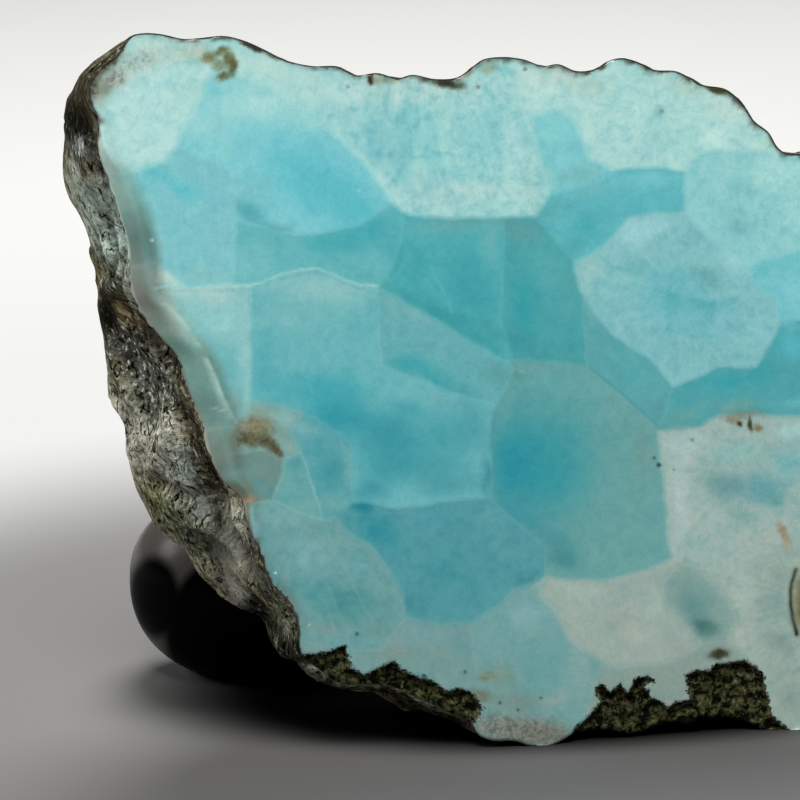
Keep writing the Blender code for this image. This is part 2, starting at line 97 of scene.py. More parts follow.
# Left edge of the polished face, from the bottom up
LEFT_FACE = [
    (7, -31.9), (5, -31.3), (3, -30.5), (1, -29.7), (-0.5, -28.9), (-3, -28.6), (-6, -28.5), (-8.2, -27),
    (-10, -25.2), (-10.2, -23), (-11, -20.5), (-13, -18.2), (-14.1, -15), (-14.7, -12), (-14.8, -10),
    (-16, -8), (-16.8, -4.5), (-16.6, -2.3), (-17.7, 0.2), (-18.8, 3), (-20.3, 5.8), (-22, 8.2),
    (-23.8, 10), (-24.6, 11.7), (-25, 15), (-26, 18.8), (-27.2, 22), (-29, 24.5), (-29.8, 27.5),
    (-30.9, 29.7), (-31.1, 31.2), (-30.3, 32.7), (-28.2, 34.5),
]
# Where the ground, rounded edge of the face ends and the rough rind begins, from the bottom up
LEFT_SHOULDER = [
    (7, -32.3, 0.8), (3, -31, 1), (-0.5, -29.5, 1), (-5.5, -29, 1), (-8.8, -27.8, 1.2), (-10.8, -25.5, 1.5),
    (-11.5, -22.5, 1.5), (-13.8, -19.5, 1.5), (-15, -15.5, 1.5), (-15.5, -12, 1.5), (-15.8, -10, 1.5),
    (-17.8, -8, 2), (-19.2, -5, 2.5), (-20, -2, 2.5), (-21.2, 0.8, 2.5), (-22.5, 4.5, 2.5),
    (-24.5, 6.8, 2.5), (-26.5, 9.7, 2.5), (-27.1, 12, 2.5), (-27.2, 15, 2.5), (-28.2, 18.8, 2.5),
    (-29.2, 22, 2.3), (-30.2, 24.8, 2), (-30.8, 27.2, 1.5), (-31.6, 29.6, 1.2), (-31.8, 31.2, 1),
    (-30.8, 33.2, 1), (-28.5, 35, 1),
]
# Widest line of the rough rind, from the bottom up
LEFT_RIND = [
    (7, -33.2, 2), (4.5, -32, 3.5), (1.5, -31.1, 5), (0.2, -31.3, 6), (-1.5, -30.2, 7), (-3.8, -29, 8.5),
    (-6.5, -28.2, 9.5), (-9.8, -27, 10.5), (-12.5, -25.5, 11.5), (-14.8, -22.2, 12), (-17.5, -20.2, 12.5),
    (-20, -17.8, 13), (-21.5, -15.3, 13), (-24, -13.2, 13), (-25.9, -10, 13), (-27, -7.2, 13),
    (-27.7, -5, 13), (-28.1, -2, 13), (-28.9, -0.5, 13), (-29.3, 2.5, 13), (-30, 6, 13), (-30.6, 9.5, 13),
    (-30.2, 12, 13), (-31.2, 15, 13), (-32.2, 18.5, 13), (-33.3, 20.5, 13), (-33.7, 22.5, 12),
    (-33.8, 25.5, 12), (-33.8, 28.5, 11), (-33.3, 30.8, 10), (-31.8, 32.8, 9), (-29, 35, 8),
]
EDGE_DEPTH = 0.8
EDGE_ROUND_OUT = 0.8
EDGE_ROUND_IN = 1.3
LEAST_FLARE_DEPTH = 1.0
BARE_GIRTH_DEPTH = 8.0
TOP_INSET = 0.15
RIGHT_FLARE = 2.0

# Rough matrix left in the lower edge of the face, sunk a little below the polish
POCKETS = [
    [(-10, -25.5), (-7.5, -25.3), (-5.5, -24.5), (-4.8, -26.8), (-3.5, -27.5), (-2, -26.7), (-0.5, -26),
     (0, -26.8), (2, -27.8), (3.5, -28.2), (4.7, -29.1), (6, -28.8), (7, -29.2), (7.8, -30), (8.3, -30.8),
     (7.6, -32.2), (3, -32), (-0.5, -30.5), (-6, -30), (-11, -27)],
    [(16.5, -34.5), (17.5, -32.8), (19, -31.5), (20, -30.2), (19.5, -28.8), (20.3, -28.4), (21, -29.2),
     (22, -28.4), (22.8, -29.2), (23.6, -27.8), (24.8, -27.6), (25.5, -28.1), (24.5, -28.6), (25.2, -29.8),
     (26.2, -30.2), (27, -30.8), (27.2, -34), (20, -35)],
    [(26.6, -31), (27.5, -30.2), (29, -30), (28.8, -28.8), (28.5, -27.5), (29.8, -27), (31, -27.1),
     (31.6, -26.4), (34.5, -26), (35.7, -26.8), (36.5, -27.8), (36.5, -29), (37, -30), (37.2, -31.5),
     (38, -32.2), (39.5, -33.5), (39.5, -35), (26.6, -34.5)],
]
POCKET_DEPTH = 0.55
POCKET_GRAIN = 0.35
POCKET_SLOPE = 0.6
POCKET_REACH = 3.0
POCKET_PAINT_REACH = 2.5
NO_POCKET = -3.0

# Forms of the rind, given one by one: (right, up, half length, half width, tilt in degrees, height)
RIND_FORMS = [
    (-32.4, 27.6, 3.6, 1, 95, -0.8), (-31, 21.4, 3.4, 0.7, 112, 0.7), (-29.6, 17.6, 3.6, 0.6, 108, -0.9),
    (-28.9, 11.5, 1.8, 0.9, 10, 0.6), (-28.6, 8.4, 2.1, 1.2, 100, -0.9), (-26.8, 4, 3, 0.9, 125, -1),
    (-24.4, 0.9, 3.2, 0.8, 130, -1), (-24.3, -4.7, 3, 2.2, 105, 0.8), (-23, -9.2, 2.8, 0.6, 150, -1.1),
    (-21, -12.8, 2.6, 1.6, 130, 0.6), (-18.2, -15.6, 3, 0.7, 132, -1.1), (-16.4, -18.6, 2.6, 1.1, 130, 0.5),
    (-13.4, -22.8, 2.6, 1.4, 135, -1.2), (-8.8, -27.4, 2.8, 0.6, 160, -0.8),
    (-1.5, -29.4, 2.6, 0.5, 160, -0.6),
]

# Relief of the rind, mm: ledges and lumps, then cracks and grit, then the ragged line where it starts
LEDGE_DEPTH = 1.6
LUMP_DEPTH = 1.0
LEDGE_PITCH = 3.6
LEDGE_LENGTH = 15.0
LEDGE_WANDER = 1.6
LEDGE_SHARPNESS = 2.2
LEDGE_LEVEL = 0.9
LUMP_SIZE = 6.5
RELIEF_CEILING = 0.12
FORM_CEILING = 0.36
BARE_ROUGHNESS = 0.45
FULL_ROUGHNESS_FLARE = 4.0
RELIEF_START = 1.8
GIRTH_CALM = 0.75
GIRTH_CALM_WIDTH = 1.6
CRACK_DEPTH = 0.22
CRACK_LENGTH = 5.5
CRACK_PITCH = 2.4
CRACK_BEND = 1.5
CRACK_BEND_SIZE = 5.0
CRACK_SHARPNESS = 2.6
GRIT_DEPTH = 0.07
GRIT_SIZE = 1.5
RIND_FADE = 0.6
RIND_RAGGED = 0.6
RAG_SIZE = 1.4
FINE_RAG_SIZE = 0.6
# How much the large relief counts in the painted shade of the rind's hollows
SHADED_RELIEF = 0.35
LEAST_RIND = 0.02

BACK_TAPER = 1.4
BACK_BEVEL = 0.8
BACK_SMOOTHING = 0.07
UNDERSIDE_RISE = 0.42
UNDERSIDE_START = 2.0
RIGHT_FOOT_ACROSS = 40.0
RIGHT_FOOT_REACH = 9.0
RIGHT_FOOT_RISE = 0.22

# Mesh sizes of the slab
COLUMNS = 880
EDGE_RINGS = 6
FLARE_RINGS = 32
BACK_RINGS = 9
CURVE_STEPS = 8
FACE_GRID = 0.54
FACE_SHARP = 0.4
BACK_GRID = 1.05
BACK_SHARP = 0.5
GRID_SHAKE = 0.04
INNER_MARGIN = 0.45

# The black rest, mm: half sizes, place of its middle, and how square its section is
REST_HALF = np.array([11.8, 9.8, 10.2])
REST_MIDDLE = np.array([-29.5, 9.9, 9.7])
REST_TURN = math.radians(-14.0)
REST_FULLNESS = 0.9
REST_LUMP = 0.35
REST_LUMP_SIZE = 9.0
# Its darkest parts as they are seen: (right, up) from its middle, half sizes, softness. The rest of it
# has a painted grey sheen, a painted reflection laid out along the view's right and up.
REST_WITHOUT_SHEEN = [(-9.0, -1.4, 2.9, 4.4, 0.4), (2.4, -5.2, 10.3, 9.5, 0.14)]
REST_COLUMNS = 144
REST_ROWS = 80
GAP = 0.3

# Light on the face: the share that reaches its middle, and how it grows with each mm up and right
# Painted shade and light: the face's colours are given as they look, darker towards the bottom where less
# light falls. Dividing them by this light paints them lighter towards the bottom again, and, as BACK_DIM
# doubles the light behind the front, paints the back darker.
FACE_LIGHT = 0.866
FACE_LIGHT_UP = 0.0033
FACE_LIGHT_RIGHT = -0.0003
FACE_VEIL = 0.009
FACE_DARKEST = 0.002
BACK_DIM = 1.0

# Behind this depth the pattern is a plainer one, carried sideways by the shift
FRONT_DEPTH = 3.0
FRONT_FADE = 2.0
BACK_SHIFT = np.array([4.0, -3.0])


def linear(screen):
    """Linear values of colours as they look on a screen."""
    share = np.asarray(screen, dtype=float) / 255.0
    return np.where(share <= 0.04045, share / 12.92, ((share + 0.055) / 1.055) ** 2.4)


Cell = namedtuple("Cell", "outline base tones blur fibre fan")


def cell(outline, base, *tones, blur=0.22, fibre=0.12, fan=None):
    """A closed cell: its outline, its base colour, and the tones that lie over it."""
    middle = np.mean(outline, axis=0) if fan is None else np.array(fan)
    return Cell(np.array(outline), base, tones, blur, fibre, middle)


# Cells of the face. A tone is (right, up, half length, half width, tilt in degrees, colour).
CELLS = [
    cell(
        [(-34, 38), (-20, 38), (-18.5, 34), (-20, 30), (-21.9, 27), (-22.2, 25.4), (-23.6, 23.9),
         (-25.5, 23.2), (-28.2, 22.5), (-32, 24), (-34, 30)],
        (170, 213, 209), (-25.5, 27.5, 2.5, 3, 0, (175, 215, 211)),
        (-26, 33.8, 3.5, 1.4, 35, (182, 208, 198)), (-20, 34.8, 3.5, 1.2, 0, (168, 195, 182)),
        (-20.5, 31, 2, 1.5, 0, (160, 208, 201)), (-29.6, 31, 1.6, 1, 70, (150, 162, 152)), blur=0.5,
        fibre=0.3, fan=(-24, 27),
    ),
    cell(
        [(-21.9, 27), (-20, 30), (-18.5, 34), (-20, 38), (-10, 35.5), (-6, 34.4), (-7.2, 29), (-8, 27.5),
         (-6, 26), (-3, 23), (-0.8, 19.6), (-4.1, 17.6), (-8, 16.6), (-10.5, 16.6), (-12.3, 17.1),
         (-13.8, 17.4), (-16.5, 17.9), (-16.6, 21.4), (-16.8, 22.9), (-20, 24.2), (-22.2, 25.4)],
        (124, 196, 202), (-14, 33.6, 7.5, 2.4, -14, (177, 214, 207)),
        (-9, 31, 5, 2.4, -10, (170, 211, 206)), (-14.5, 29.4, 4.5, 1.6, -6, (160, 211, 208)),
        (-19.5, 27.3, 2.2, 2, 0, (146, 205, 205)), (-9, 28.2, 2.6, 1.4, -20, (150, 206, 204)),
        (-18.5, 25, 2.4, 1.2, -10, (133, 201, 203)), (-9.5, 22.5, 4.6, 3.2, -28, (103, 188, 198)),
        (-5.6, 19.6, 4.6, 2.6, -38, (90, 181, 190)), (-15, 20.9, 2.2, 1.4, 0, (118, 187, 193)),
        (-15.2, 18.6, 2.1, 1, -28, (86, 165, 172)), (-12, 17.3, 1.6, 0.5, -15, (104, 173, 179)), blur=0.3,
        fibre=0.1,
    ),
    cell(
        [(-25.5, 23.2), (-23.6, 23.9), (-22.2, 25.4), (-20, 24.2), (-16.8, 22.9), (-16.6, 21.4),
         (-16.4, 17.9), (-16.7, 11.7), (-21.5, 11.3), (-24.5, 13.8), (-26.5, 17), (-28.5, 20),
         (-29.5, 22.5)],
        (124, 190, 195), (-24.2, 22.4, 2, 0.9, -18, (105, 188, 194)),
        (-21.3, 21, 1.6, 0.8, -22, (98, 188, 196)), (-20, 12.6, 3, 0.9, 0, (132, 191, 190)),
        (-18, 16, 1.6, 1.6, 0, (125, 187, 192)), (-25.8, 17.5, 3.4, 1.1, 115, (138, 178, 172)), blur=0.3,
    ),
    cell(
        [(-16.4, 17.9), (-13.8, 17.4), (-12.3, 17.1), (-10.5, 16.6), (-8, 16.6), (-4.1, 17.6), (-0.8, 19.6),
         (0.3, 18.5), (0.2, 16), (-1.5, 11.7), (-2.5, 11.3), (-5.5, 11.9), (-8.5, 13.1), (-10, 13),
         (-12, 12.5), (-13.8, 11.7), (-16.7, 11.7)],
        (101, 177, 181), (-15.2, 13.6, 2.6, 1.8, 0, (117, 184, 187)),
        (-12, 15.4, 1.6, 0.9, 0, (98, 173, 178)), (-6.6, 15.8, 3, 1.4, 4, (76, 167, 174)),
        (-3, 16.9, 2.6, 1.3, 20, (73, 164, 172)), (-0.8, 15.5, 1.3, 2.2, 0, (82, 167, 173)),
        (-4.5, 12.9, 2.6, 0.8, -18, (98, 173, 176)), blur=0.25,
    ),
    cell(
        [(-24.5, 13.8), (-21.5, 11.3), (-16.7, 11.7), (-15, 11.4), (-14.7, 10), (-14.9, 0), (-15.7, -2.5),
         (-17.5, -1.5), (-19.5, 3), (-22, 7.5), (-25, 11)],
        (130, 187, 187), (-23.6, 12.4, 2.2, 1.4, -20, (181, 209, 198)),
        (-20, 10.6, 4.2, 1.2, 0, (160, 199, 194)), (-18, 7.8, 2.6, 1.6, 0, (142, 196, 195)),
        (-23, 8.4, 2.6, 1, 120, (165, 190, 180)), (-18.6, 3.2, 3.2, 1.8, 110, (106, 173, 176)),
        (-16.8, 2.2, 2.6, 1.3, 100, (108, 175, 179)), (-15.5, 6, 4, 0.5, 90, (138, 190, 189)),
        (-16.6, -0.6, 1.3, 1, 90, (122, 163, 156)), (-19.4, 4.6, 2.8, 0.5, 124, (128, 166, 154)),
    ),
    cell(
        [(-15, 11.4), (-13.8, 11.7), (-12, 12.5), (-10, 13), (-8.5, 13.1), (-5.5, 11.9), (-2.5, 11.3),
         (-2, 10), (-2.2, 6), (-1.8, 3.5), (0, 2.5), (3, 1.6), (5.5, 0.4), (9.2, -0.5), (9, -2.5),
         (9.1, -9.5), (6, -10), (0, -10.8), (-4.8, -10), (-5, -4), (-6.5, -3), (-9.8, -1), (-13, -0.4),
         (-14.9, -0.2)],
        (103, 174, 179), (-8, 11, 5.5, 1.7, -4, (135, 187, 187)), (-11, 8, 4, 1.6, 0, (115, 179, 181)),
        (-13.4, 3.6, 3.4, 1, 90, (89, 168, 174)), (-12, 1.2, 2.6, 1.6, 0, (84, 166, 173)),
        (-7, 0.8, 3.6, 1.8, 0, (68, 161, 171)), (-6, -1.6, 3.4, 1.6, -8, (53, 149, 162)),
        (-1, -3.6, 4.4, 2.4, -12, (60, 147, 158)), (-0.5, -6.4, 3.6, 1.8, 0, (64, 149, 159)),
        (-3, -9, 1.8, 1.4, 0, (65, 146, 157)), (0.6, -1, 1.8, 0.8, -10, (78, 159, 168)),
        (4.2, 0, 1.8, 0.9, -20, (104, 168, 173)), (7.4, -2, 2.4, 1.4, 100, (86, 158, 164)),
        (5, -3.6, 3, 2.2, 0, (74, 155, 162)), (3, -7, 3.4, 1.6, 0, (72, 153, 161)),
        (5, -8.4, 3.2, 1.3, 0, (80, 155, 162)), (8.6, -7.5, 2.2, 0.45, 90, (66, 142, 150)), blur=0.28,
        fibre=0.12, fan=(0, -5),
    ),
    cell(
        [(-2.5, 11.3), (0, 10), (4, 7.8), (7, 5.8), (10, 4.2), (11.7, 3), (10.5, 1), (9.5, -0.5),
         (7.5, 0.2), (4.8, 1), (2.4, 2), (0, 2.9), (-1.8, 3.5), (-2.2, 6), (-2, 10)],
        (100, 168, 172), (1.4, 8.6, 3.6, 1, -28, (109, 170, 173)), (1, 3.6, 2.6, 1, -14, (68, 160, 167)),
        (3.6, 2.2, 2.8, 0.9, -24, (70, 158, 165)), (6.8, 0.8, 1.8, 0.6, -22, (82, 158, 163)),
        (9.8, 2.6, 1.6, 1.2, -30, (92, 156, 157)), blur=0.3,
    ),
    cell(
        [(0.3, 18.5), (3, 18.2), (10, 18.2), (10.5, 16), (10.3, 11), (10, 8), (11, 4.2), (10, 4), (7, 5.8),
         (4, 7.8), (0, 10), (-2, 11.3), (-1.5, 11.7), (-0.5, 13.5), (0.2, 16)],
        (82, 168, 173), (5.5, 17.4, 4.6, 0.9, 0, (102, 170, 172)),
        (9.3, 15.6, 2.2, 1.1, 90, (104, 173, 175)), (7, 11.2, 4.2, 2.4, -64, (66, 156, 164)),
        (1.8, 13, 2.2, 1.3, 60, (68, 159, 166)), (3.4, 14.4, 1.6, 1, 0, (82, 169, 175)),
        (4.6, 8.6, 3.8, 0.9, -30, (64, 150, 158)), (9, 6.8, 2, 1.2, -40, (72, 156, 161)),
    ),
    cell(
        [(10, 18.2), (13.5, 18.2), (14.8, 16.8), (16, 15.5), (17.5, 13), (18.2, 10), (18.4, 7), (18.7, 3.5),
         (16, 3.8), (13, 4), (11.2, 4.2), (10, 8), (10.3, 11), (10.5, 16)],
        (76, 158, 162), (12, 17.1, 2.4, 1, -10, (95, 156, 158)), (14.6, 13.4, 2.4, 2, -40, (87, 166, 169)),
        (12.4, 9.6, 3.4, 1.4, 95, (62, 156, 162)), (12, 5.9, 1.8, 1.1, 0, (66, 149, 155)),
        (17.2, 11, 2.6, 0.9, 100, (85, 160, 162)), (16.6, 5.2, 2.2, 0.8, 0, (73, 153, 157)), blur=0.3,
    ),
    cell(
        [(-8, 27.5), (-7.2, 29), (-6, 33.4), (-4, 36), (6, 36), (11, 36), (12, 30), (13.2, 26.8), (14, 24),
         (14.9, 20.5), (13.5, 18.2), (10, 18.2), (3, 18.3), (0.3, 19), (-0.8, 19.6), (-3, 23), (-6, 26)],
        (157, 207, 204), (0, 31.2, 9, 1.5, 0, (174, 209, 203)), (-6, 31, 2, 1.4, 0, (177, 215, 210)),
        (-5.6, 27.4, 1.6, 2, 0, (149, 202, 202)), (-2.8, 26, 3.2, 1.3, 95, (127, 190, 195)),
        (-0.4, 24.6, 3.4, 1.3, 105, (128, 190, 193)), (1, 27.2, 2.6, 2, 100, (134, 196, 198)),
        (2.6, 25.8, 3.6, 1.6, 100, (140, 200, 201)), (8.4, 26.4, 3.6, 2.6, 70, (142, 200, 201)),
        (11.4, 26.4, 2.8, 0.8, 125, (169, 212, 212)), (6, 20.6, 6.5, 1.3, 2, (169, 208, 204)),
        (13.2, 21, 3, 0.9, 100, (162, 204, 200)), (-3.4, 23.2, 5.2, 0.55, -48, (160, 210, 208)),
        (2.6, 21.6, 1.6, 0.6, -70, (146, 196, 195)), blur=0.3, fibre=0.6, fan=(2, 44),
    ),
    cell(
        [(13.2, 26.8), (12.6, 29.4), (14, 28.6), (15.7, 29), (17.2, 28.2), (18, 26.5), (19, 24),
         (21.2, 23.2), (20, 22), (16.5, 21), (14.9, 20.5), (14, 24)],
        (125, 196, 200), (15.4, 27.2, 2.2, 1.4, 0, (131, 201, 203)),
        (17.6, 22.6, 2.8, 0.8, 14, (118, 183, 184)), (14.4, 22, 1.4, 0.6, 90, (141, 193, 190)), blur=0.45,
    ),
    cell(
        [(13.7, 18.3), (14.9, 20.5), (16.5, 21), (20, 22), (22.5, 23.3), (26, 23.2), (28.3, 22.8),
         (28.5, 21), (28.4, 18.8), (25, 18.6), (23, 18.3), (20.5, 15.5), (17.7, 13.8), (16, 15.5),
         (14.8, 16.8)],
        (96, 177, 184), (24.6, 22, 3.6, 1, 4, (112, 189, 195)), (24.4, 19.8, 2.8, 0.8, 0, (94, 180, 188)),
        (18.6, 17.2, 2.8, 1.4, 40, (82, 170, 177)), (17.6, 15.2, 1.4, 0.8, 40, (80, 163, 170)),
        (15.4, 18.9, 1.6, 0.9, 20, (92, 169, 172)), (19, 21, 2, 0.6, 16, (108, 180, 183)),
    ),
    cell(
        [(17.7, 13.8), (20.5, 15.5), (23, 18.3), (25, 18.6), (28.4, 18.8), (30, 17), (34.5, 13.5),
         (35.5, 11.5), (37.5, 10), (38.2, 8), (37, 5.5), (35.7, 3.3), (32, 3.3), (29.5, 2.2), (27.2, 1.3),
         (25.8, 3.3), (24, 4.8), (21.2, 6.5), (19.5, 8.8), (18.2, 10.5), (17.3, 13)],
        (127, 185, 188), (24, 17, 3.6, 1.3, 14, (150, 201, 204)),
        (18.9, 12.8, 1.9, 1.2, 70, (147, 192, 189)), (33.4, 14, 2.2, 1.2, -30, (145, 201, 203)),
        (27, 10.4, 2.9, 2.6, 0, (107, 180, 187)), (29, 8.6, 4.4, 2.2, -14, (112, 180, 186)),
        (27, 10.1, 1.1, 0.7, 0, (88, 170, 176)), (30.3, 12.2, 1.6, 0.8, -18, (103, 167, 169)),
        (30.6, 9.5, 1.7, 0.6, -12, (92, 170, 176)), (32.6, 9.7, 1, 0.4, 10, (98, 172, 178)),
        (23.4, 12.8, 0.9, 0.4, -10, (116, 184, 180)), (29.4, 4.8, 4.2, 1.1, -14, (121, 180, 183)),
        (36.4, 7.6, 1.2, 1.4, 0, (130, 190, 194)), blur=0.25, fibre=0.35, fan=(28.6, 10),
    ),
    cell(
        [(28.3, 22.8), (30, 24.5), (31.2, 25.1), (38, 24.8), (50, 25), (50, 15.5), (40, 15), (38, 14.5),
         (35.5, 13.8), (34.5, 13.5), (30, 17), (28.5, 18.8)],
        (139, 199, 200), (34, 17.6, 1.6, 1.1, -50, (122, 185, 187)), (34, 21, 1.8, 1, 0, (134, 195, 195)),
        (37.8, 22.6, 3, 1.6, -8, (163, 213, 208)), (39.6, 19, 3, 1.2, 90, (154, 208, 206)),
        (46, 20, 4, 2.4, 0, (128, 194, 197)), blur=0.35, fibre=0.3, fan=(34, 18),
    ),
    cell(
        [(13.2, 26.8), (12, 30), (11, 36), (20, 37), (30, 35), (40, 26), (38, 24.8), (31.2, 25.1),
         (30, 24.5), (28.3, 22.8), (26, 23.2), (22.5, 23.3), (21.2, 23.2), (19, 24), (18, 26.5),
         (17.2, 28.2), (15.7, 29), (14, 28.6)],
        (168, 212, 207), (12.6, 32, 1.8, 1.1, 0, (182, 214, 208)), (16.2, 32, 2, 0.9, 0, (184, 208, 199)),
        (19, 31.4, 1.6, 1.2, 0, (167, 203, 195)), (14.4, 30.4, 1.6, 0.9, 0, (178, 218, 210)),
        (25.4, 25.8, 2.4, 2, 0, (159, 206, 203)), (24, 29, 0.5, 1.4, 0, (177, 220, 214)),
        (26.2, 28.9, 0.55, 0.45, 0, (136, 185, 183)), (29, 26.4, 1.2, 1.6, 0, (160, 210, 205)),
        (31.4, 26, 1.3, 1.2, 0, (188, 225, 217)), (32.4, 29, 1.8, 1, -20, (184, 214, 205)),
        (28.6, 31.2, 2.4, 0.8, -14, (176, 206, 196)), (36, 25.8, 1.6, 0.9, -40, (179, 216, 208)), blur=0.25,
        fibre=0.35, fan=(26, 29),
    ),
    cell(
        [(18.2, 10.5), (19.5, 8.8), (21.2, 6.5), (24, 4.8), (25.8, 3.3), (27.2, 1.3), (26.8, -0.5),
         (25.8, -2.7), (24, -1.2), (20, 2), (18.7, 3.5), (18.4, 7)],
        (90, 160, 164), (19.2, 9.2, 1.3, 0.6, 110, (108, 171, 172)),
        (23.6, 3.2, 2.4, 1.6, -40, (87, 163, 167)), (26, -1, 1, 0.8, 0, (88, 151, 152)),
    ),
    cell(
        [(27.2, 1.3), (29.5, 2.2), (32, 3.3), (35.7, 3.3), (37, 5.5), (38.2, 8), (50, 8.2), (50, -0.5),
         (40, -1.5), (37, -1.5), (34, -1.2), (31.5, -1.5), (30, -2.5), (25.8, -3), (26.8, -0.5)],
        (80, 158, 164), (32.4, 1.7, 2.6, 0.9, 6, (62, 156, 165)), (36.2, 2.6, 1.4, 1.1, 60, (64, 155, 162)),
        (39, 5.4, 1.6, 1.4, 0, (86, 177, 186)), (39, 7.5, 1.6, 0.6, 0, (100, 181, 187)),
        (28.2, -1.7, 1.8, 0.9, 20, (97, 157, 154)), (33.4, -0.6, 2.6, 0.6, 0, (102, 156, 153)),
        (40, -0.4, 2.2, 0.6, 0, (103, 177, 183)), (45, 4, 3, 2, 0, (78, 166, 176)),
    ),
    cell(
        [(35.5, 13.8), (38, 14.5), (40, 15), (50, 15.5), (50, 8.2), (38.2, 8), (37.5, 10), (35.5, 11.5),
         (34.8, 13.2)],
        (116, 191, 197), (36.4, 13, 1, 0.8, 0, (106, 184, 190)), (39.6, 11, 1.6, 1.4, 0, (124, 195, 200)),
    ),
    cell(
        [(11.2, 3.8), (13, 4), (16, 3.8), (18.7, 3.5), (20, 2), (24, -1.2), (25.8, -3), (26.1, -6),
         (26.6, -10), (26.9, -14.5), (27.1, -15.8), (25.5, -16.6), (22, -17.8), (20, -18), (16, -17.8),
         (14.5, -17.5), (14.5, -14.8), (12, -12.5), (9.5, -10.3), (9.1, -9.5), (9, -2.5), (9.5, -0.5),
         (10.5, 1)],
        (102, 157, 155), (18.6, 1, 3, 1.6, -30, (107, 163, 163)), (14.8, 1.6, 2.2, 1, -10, (112, 168, 167)),
        (14, -4, 6.4, 5.8, 80, (84, 155, 158)), (14.2, -7, 4.6, 4.4, 90, (56, 146, 154)),
        (11.4, -6.6, 3.8, 2.4, 90, (46, 141, 155)), (11.8, -11.2, 2.6, 1.6, -40, (66, 145, 154)),
        (15.6, -14, 2.8, 1.2, -40, (76, 144, 150)), (16, -15.9, 1.9, 0.9, -20, (73, 137, 140)),
        (11.6, 2.8, 1.6, 0.8, -30, (88, 150, 149)), (24.4, -5.4, 2.4, 1, 90, (106, 152, 148)), blur=0.2,
    ),
    cell(
        [(25.8, -3.2), (30, -2.7), (31.5, -1.7), (34, -1.4), (37, -1.7), (40, -1.7), (45, -3), (46, -12),
         (39, -14.8), (36, -15.2), (32.2, -17.2), (30, -16.5), (27.2, -15.6), (26.9, -14.5), (26.4, -10),
         (26.1, -6)],
        (151, 176, 170), (28.4, -4.4, 2.2, 1.2, 0, (165, 189, 184)),
        (28, -9.4, 4.4, 0.9, 92, (166, 187, 184)), (34, -5.2, 3, 1.3, 0, (136, 178, 173)),
        (32.6, -8.5, 2.6, 1.4, -14, (109, 152, 152)), (36.4, -9, 2.2, 1.5, -24, (100, 156, 160)),
        (37.4, -10.2, 0.8, 0.5, -30, (93, 149, 150)), (34.4, -11.6, 1.6, 0.8, -10, (122, 162, 158)),
        (33.2, -8.3, 1, 0.4, -24, (100, 149, 149)), (39, -6.4, 1.8, 2, 0, (122, 175, 175)),
        (39.2, -3, 1.6, 0.7, 0, (156, 194, 190)), (36.4, -14, 2.4, 1.2, 20, (158, 176, 166)),
        (44, -8, 3, 2.4, 0, (126, 172, 172)), blur=0.3, fibre=0.3, fan=(34, -8),
    ),
    cell(
        [(26, -18.2), (28, -16.5), (30.2, -17.2), (32.7, -19.8), (33.7, -22), (32.7, -24), (30.2, -24.3),
         (28.4, -22.6), (26.8, -20.6)],
        (124, 156, 150), (29.2, -20.2, 2, 1.2, -50, (102, 143, 140)),
        (30.2, -22.6, 1.2, 0.8, -40, (62, 109, 107)), (31.2, -23, 0.9, 0.7, 0, (82, 124, 117)),
        (32.4, -21.4, 1.4, 0.7, 90, (124, 157, 150)), blur=0.8, fibre=0.05,
    ),
    cell(
        [(14.5, -17.7), (20, -18.2), (25.5, -16.8), (27.1, -16), (28, -16.5), (26, -18.2), (26.8, -20.6),
         (28.4, -22.6), (30.2, -24.3), (28, -26), (22, -26.8), (17, -24), (15.5, -21), (12, -20)],
        (151, 170, 162), (18.4, -19, 2.6, 0.8, -6, (162, 180, 171)),
        (22.4, -19.2, 1.4, 1, 20, (138, 163, 159)), (25.2, -20.4, 1.6, 0.6, 70, (158, 178, 170)),
        (24, -23.2, 2, 1.2, 0, (159, 174, 165)), (21.6, -22.2, 1.4, 0.8, 0, (144, 163, 153)),
        (28.6, -25.2, 2, 0.8, -20, (146, 163, 154)), blur=0.3, fibre=0.05,
    ),
    cell(
        [(-4.8, -10.2), (0, -10.8), (6, -10), (8.9, -9.7), (9.5, -10.3), (12, -12.5), (14.5, -14.8),
         (14.5, -17.5), (11.5, -19), (10, -20.4), (7, -22.3), (4, -22.5), (0.5, -21.8), (0.3, -19.5),
         (-1.5, -16.5), (-3, -14.5), (-5.5, -13), (-6.5, -11.7)],
        (81, 149, 156), (7.8, -11.6, 2.6, 1, 0, (87, 154, 160)), (3, -12.4, 2.6, 1.2, 0, (82, 151, 160)),
        (-2.2, -13.2, 2.4, 1.4, -40, (56, 141, 152)), (-3.8, -10.7, 1.1, 0.5, 0, (34, 126, 141)),
        (-4.8, -13, 1, 0.6, 0, (78, 147, 154)), (4.4, -17, 2.6, 1.7, -10, (71, 144, 152)),
        (1.2, -20.4, 1.4, 1.2, 0, (74, 141, 147)), (11, -14.6, 2.6, 1.6, -40, (87, 151, 157)),
        (12.4, -18.3, 1.2, 0.6, 0, (67, 137, 145)), blur=0.25, fibre=0.35, fan=(-4, -34),
    ),
    cell(
        [(-14.5, -10), (-12.5, -10), (-10, -11.5), (-7.5, -12), (-6.5, -11.7), (-5.5, -13), (-3, -14.5),
         (-1.5, -16.5), (0.3, -19.5), (0.5, -21.8), (-2, -25), (-6, -25), (-10, -24), (-13, -19),
         (-14.2, -15)],
        (106, 155, 155), (-11.6, -11.8, 3, 1, -16, (119, 164, 162)),
        (-12.4, -15.4, 2, 0.9, 100, (104, 151, 152)), (-9, -15.6, 2.4, 1.5, -20, (120, 166, 168)),
        (-8.4, -19.4, 2.4, 1.2, -24, (88, 149, 150)), (-5, -20.4, 2.8, 1.9, -18, (79, 142, 143)),
        (-4, -16.8, 2.2, 0.8, -60, (105, 161, 163)), (-11, -19.8, 2.2, 0.7, -50, (98, 137, 134)),
        (-7.6, -22.8, 2.4, 0.7, 0, (118, 149, 144)), (-2, -22.8, 2, 0.8, 0, (101, 147, 144)), blur=0.3,
        fibre=0.4, fan=(-10, -12),
    ),
    cell(
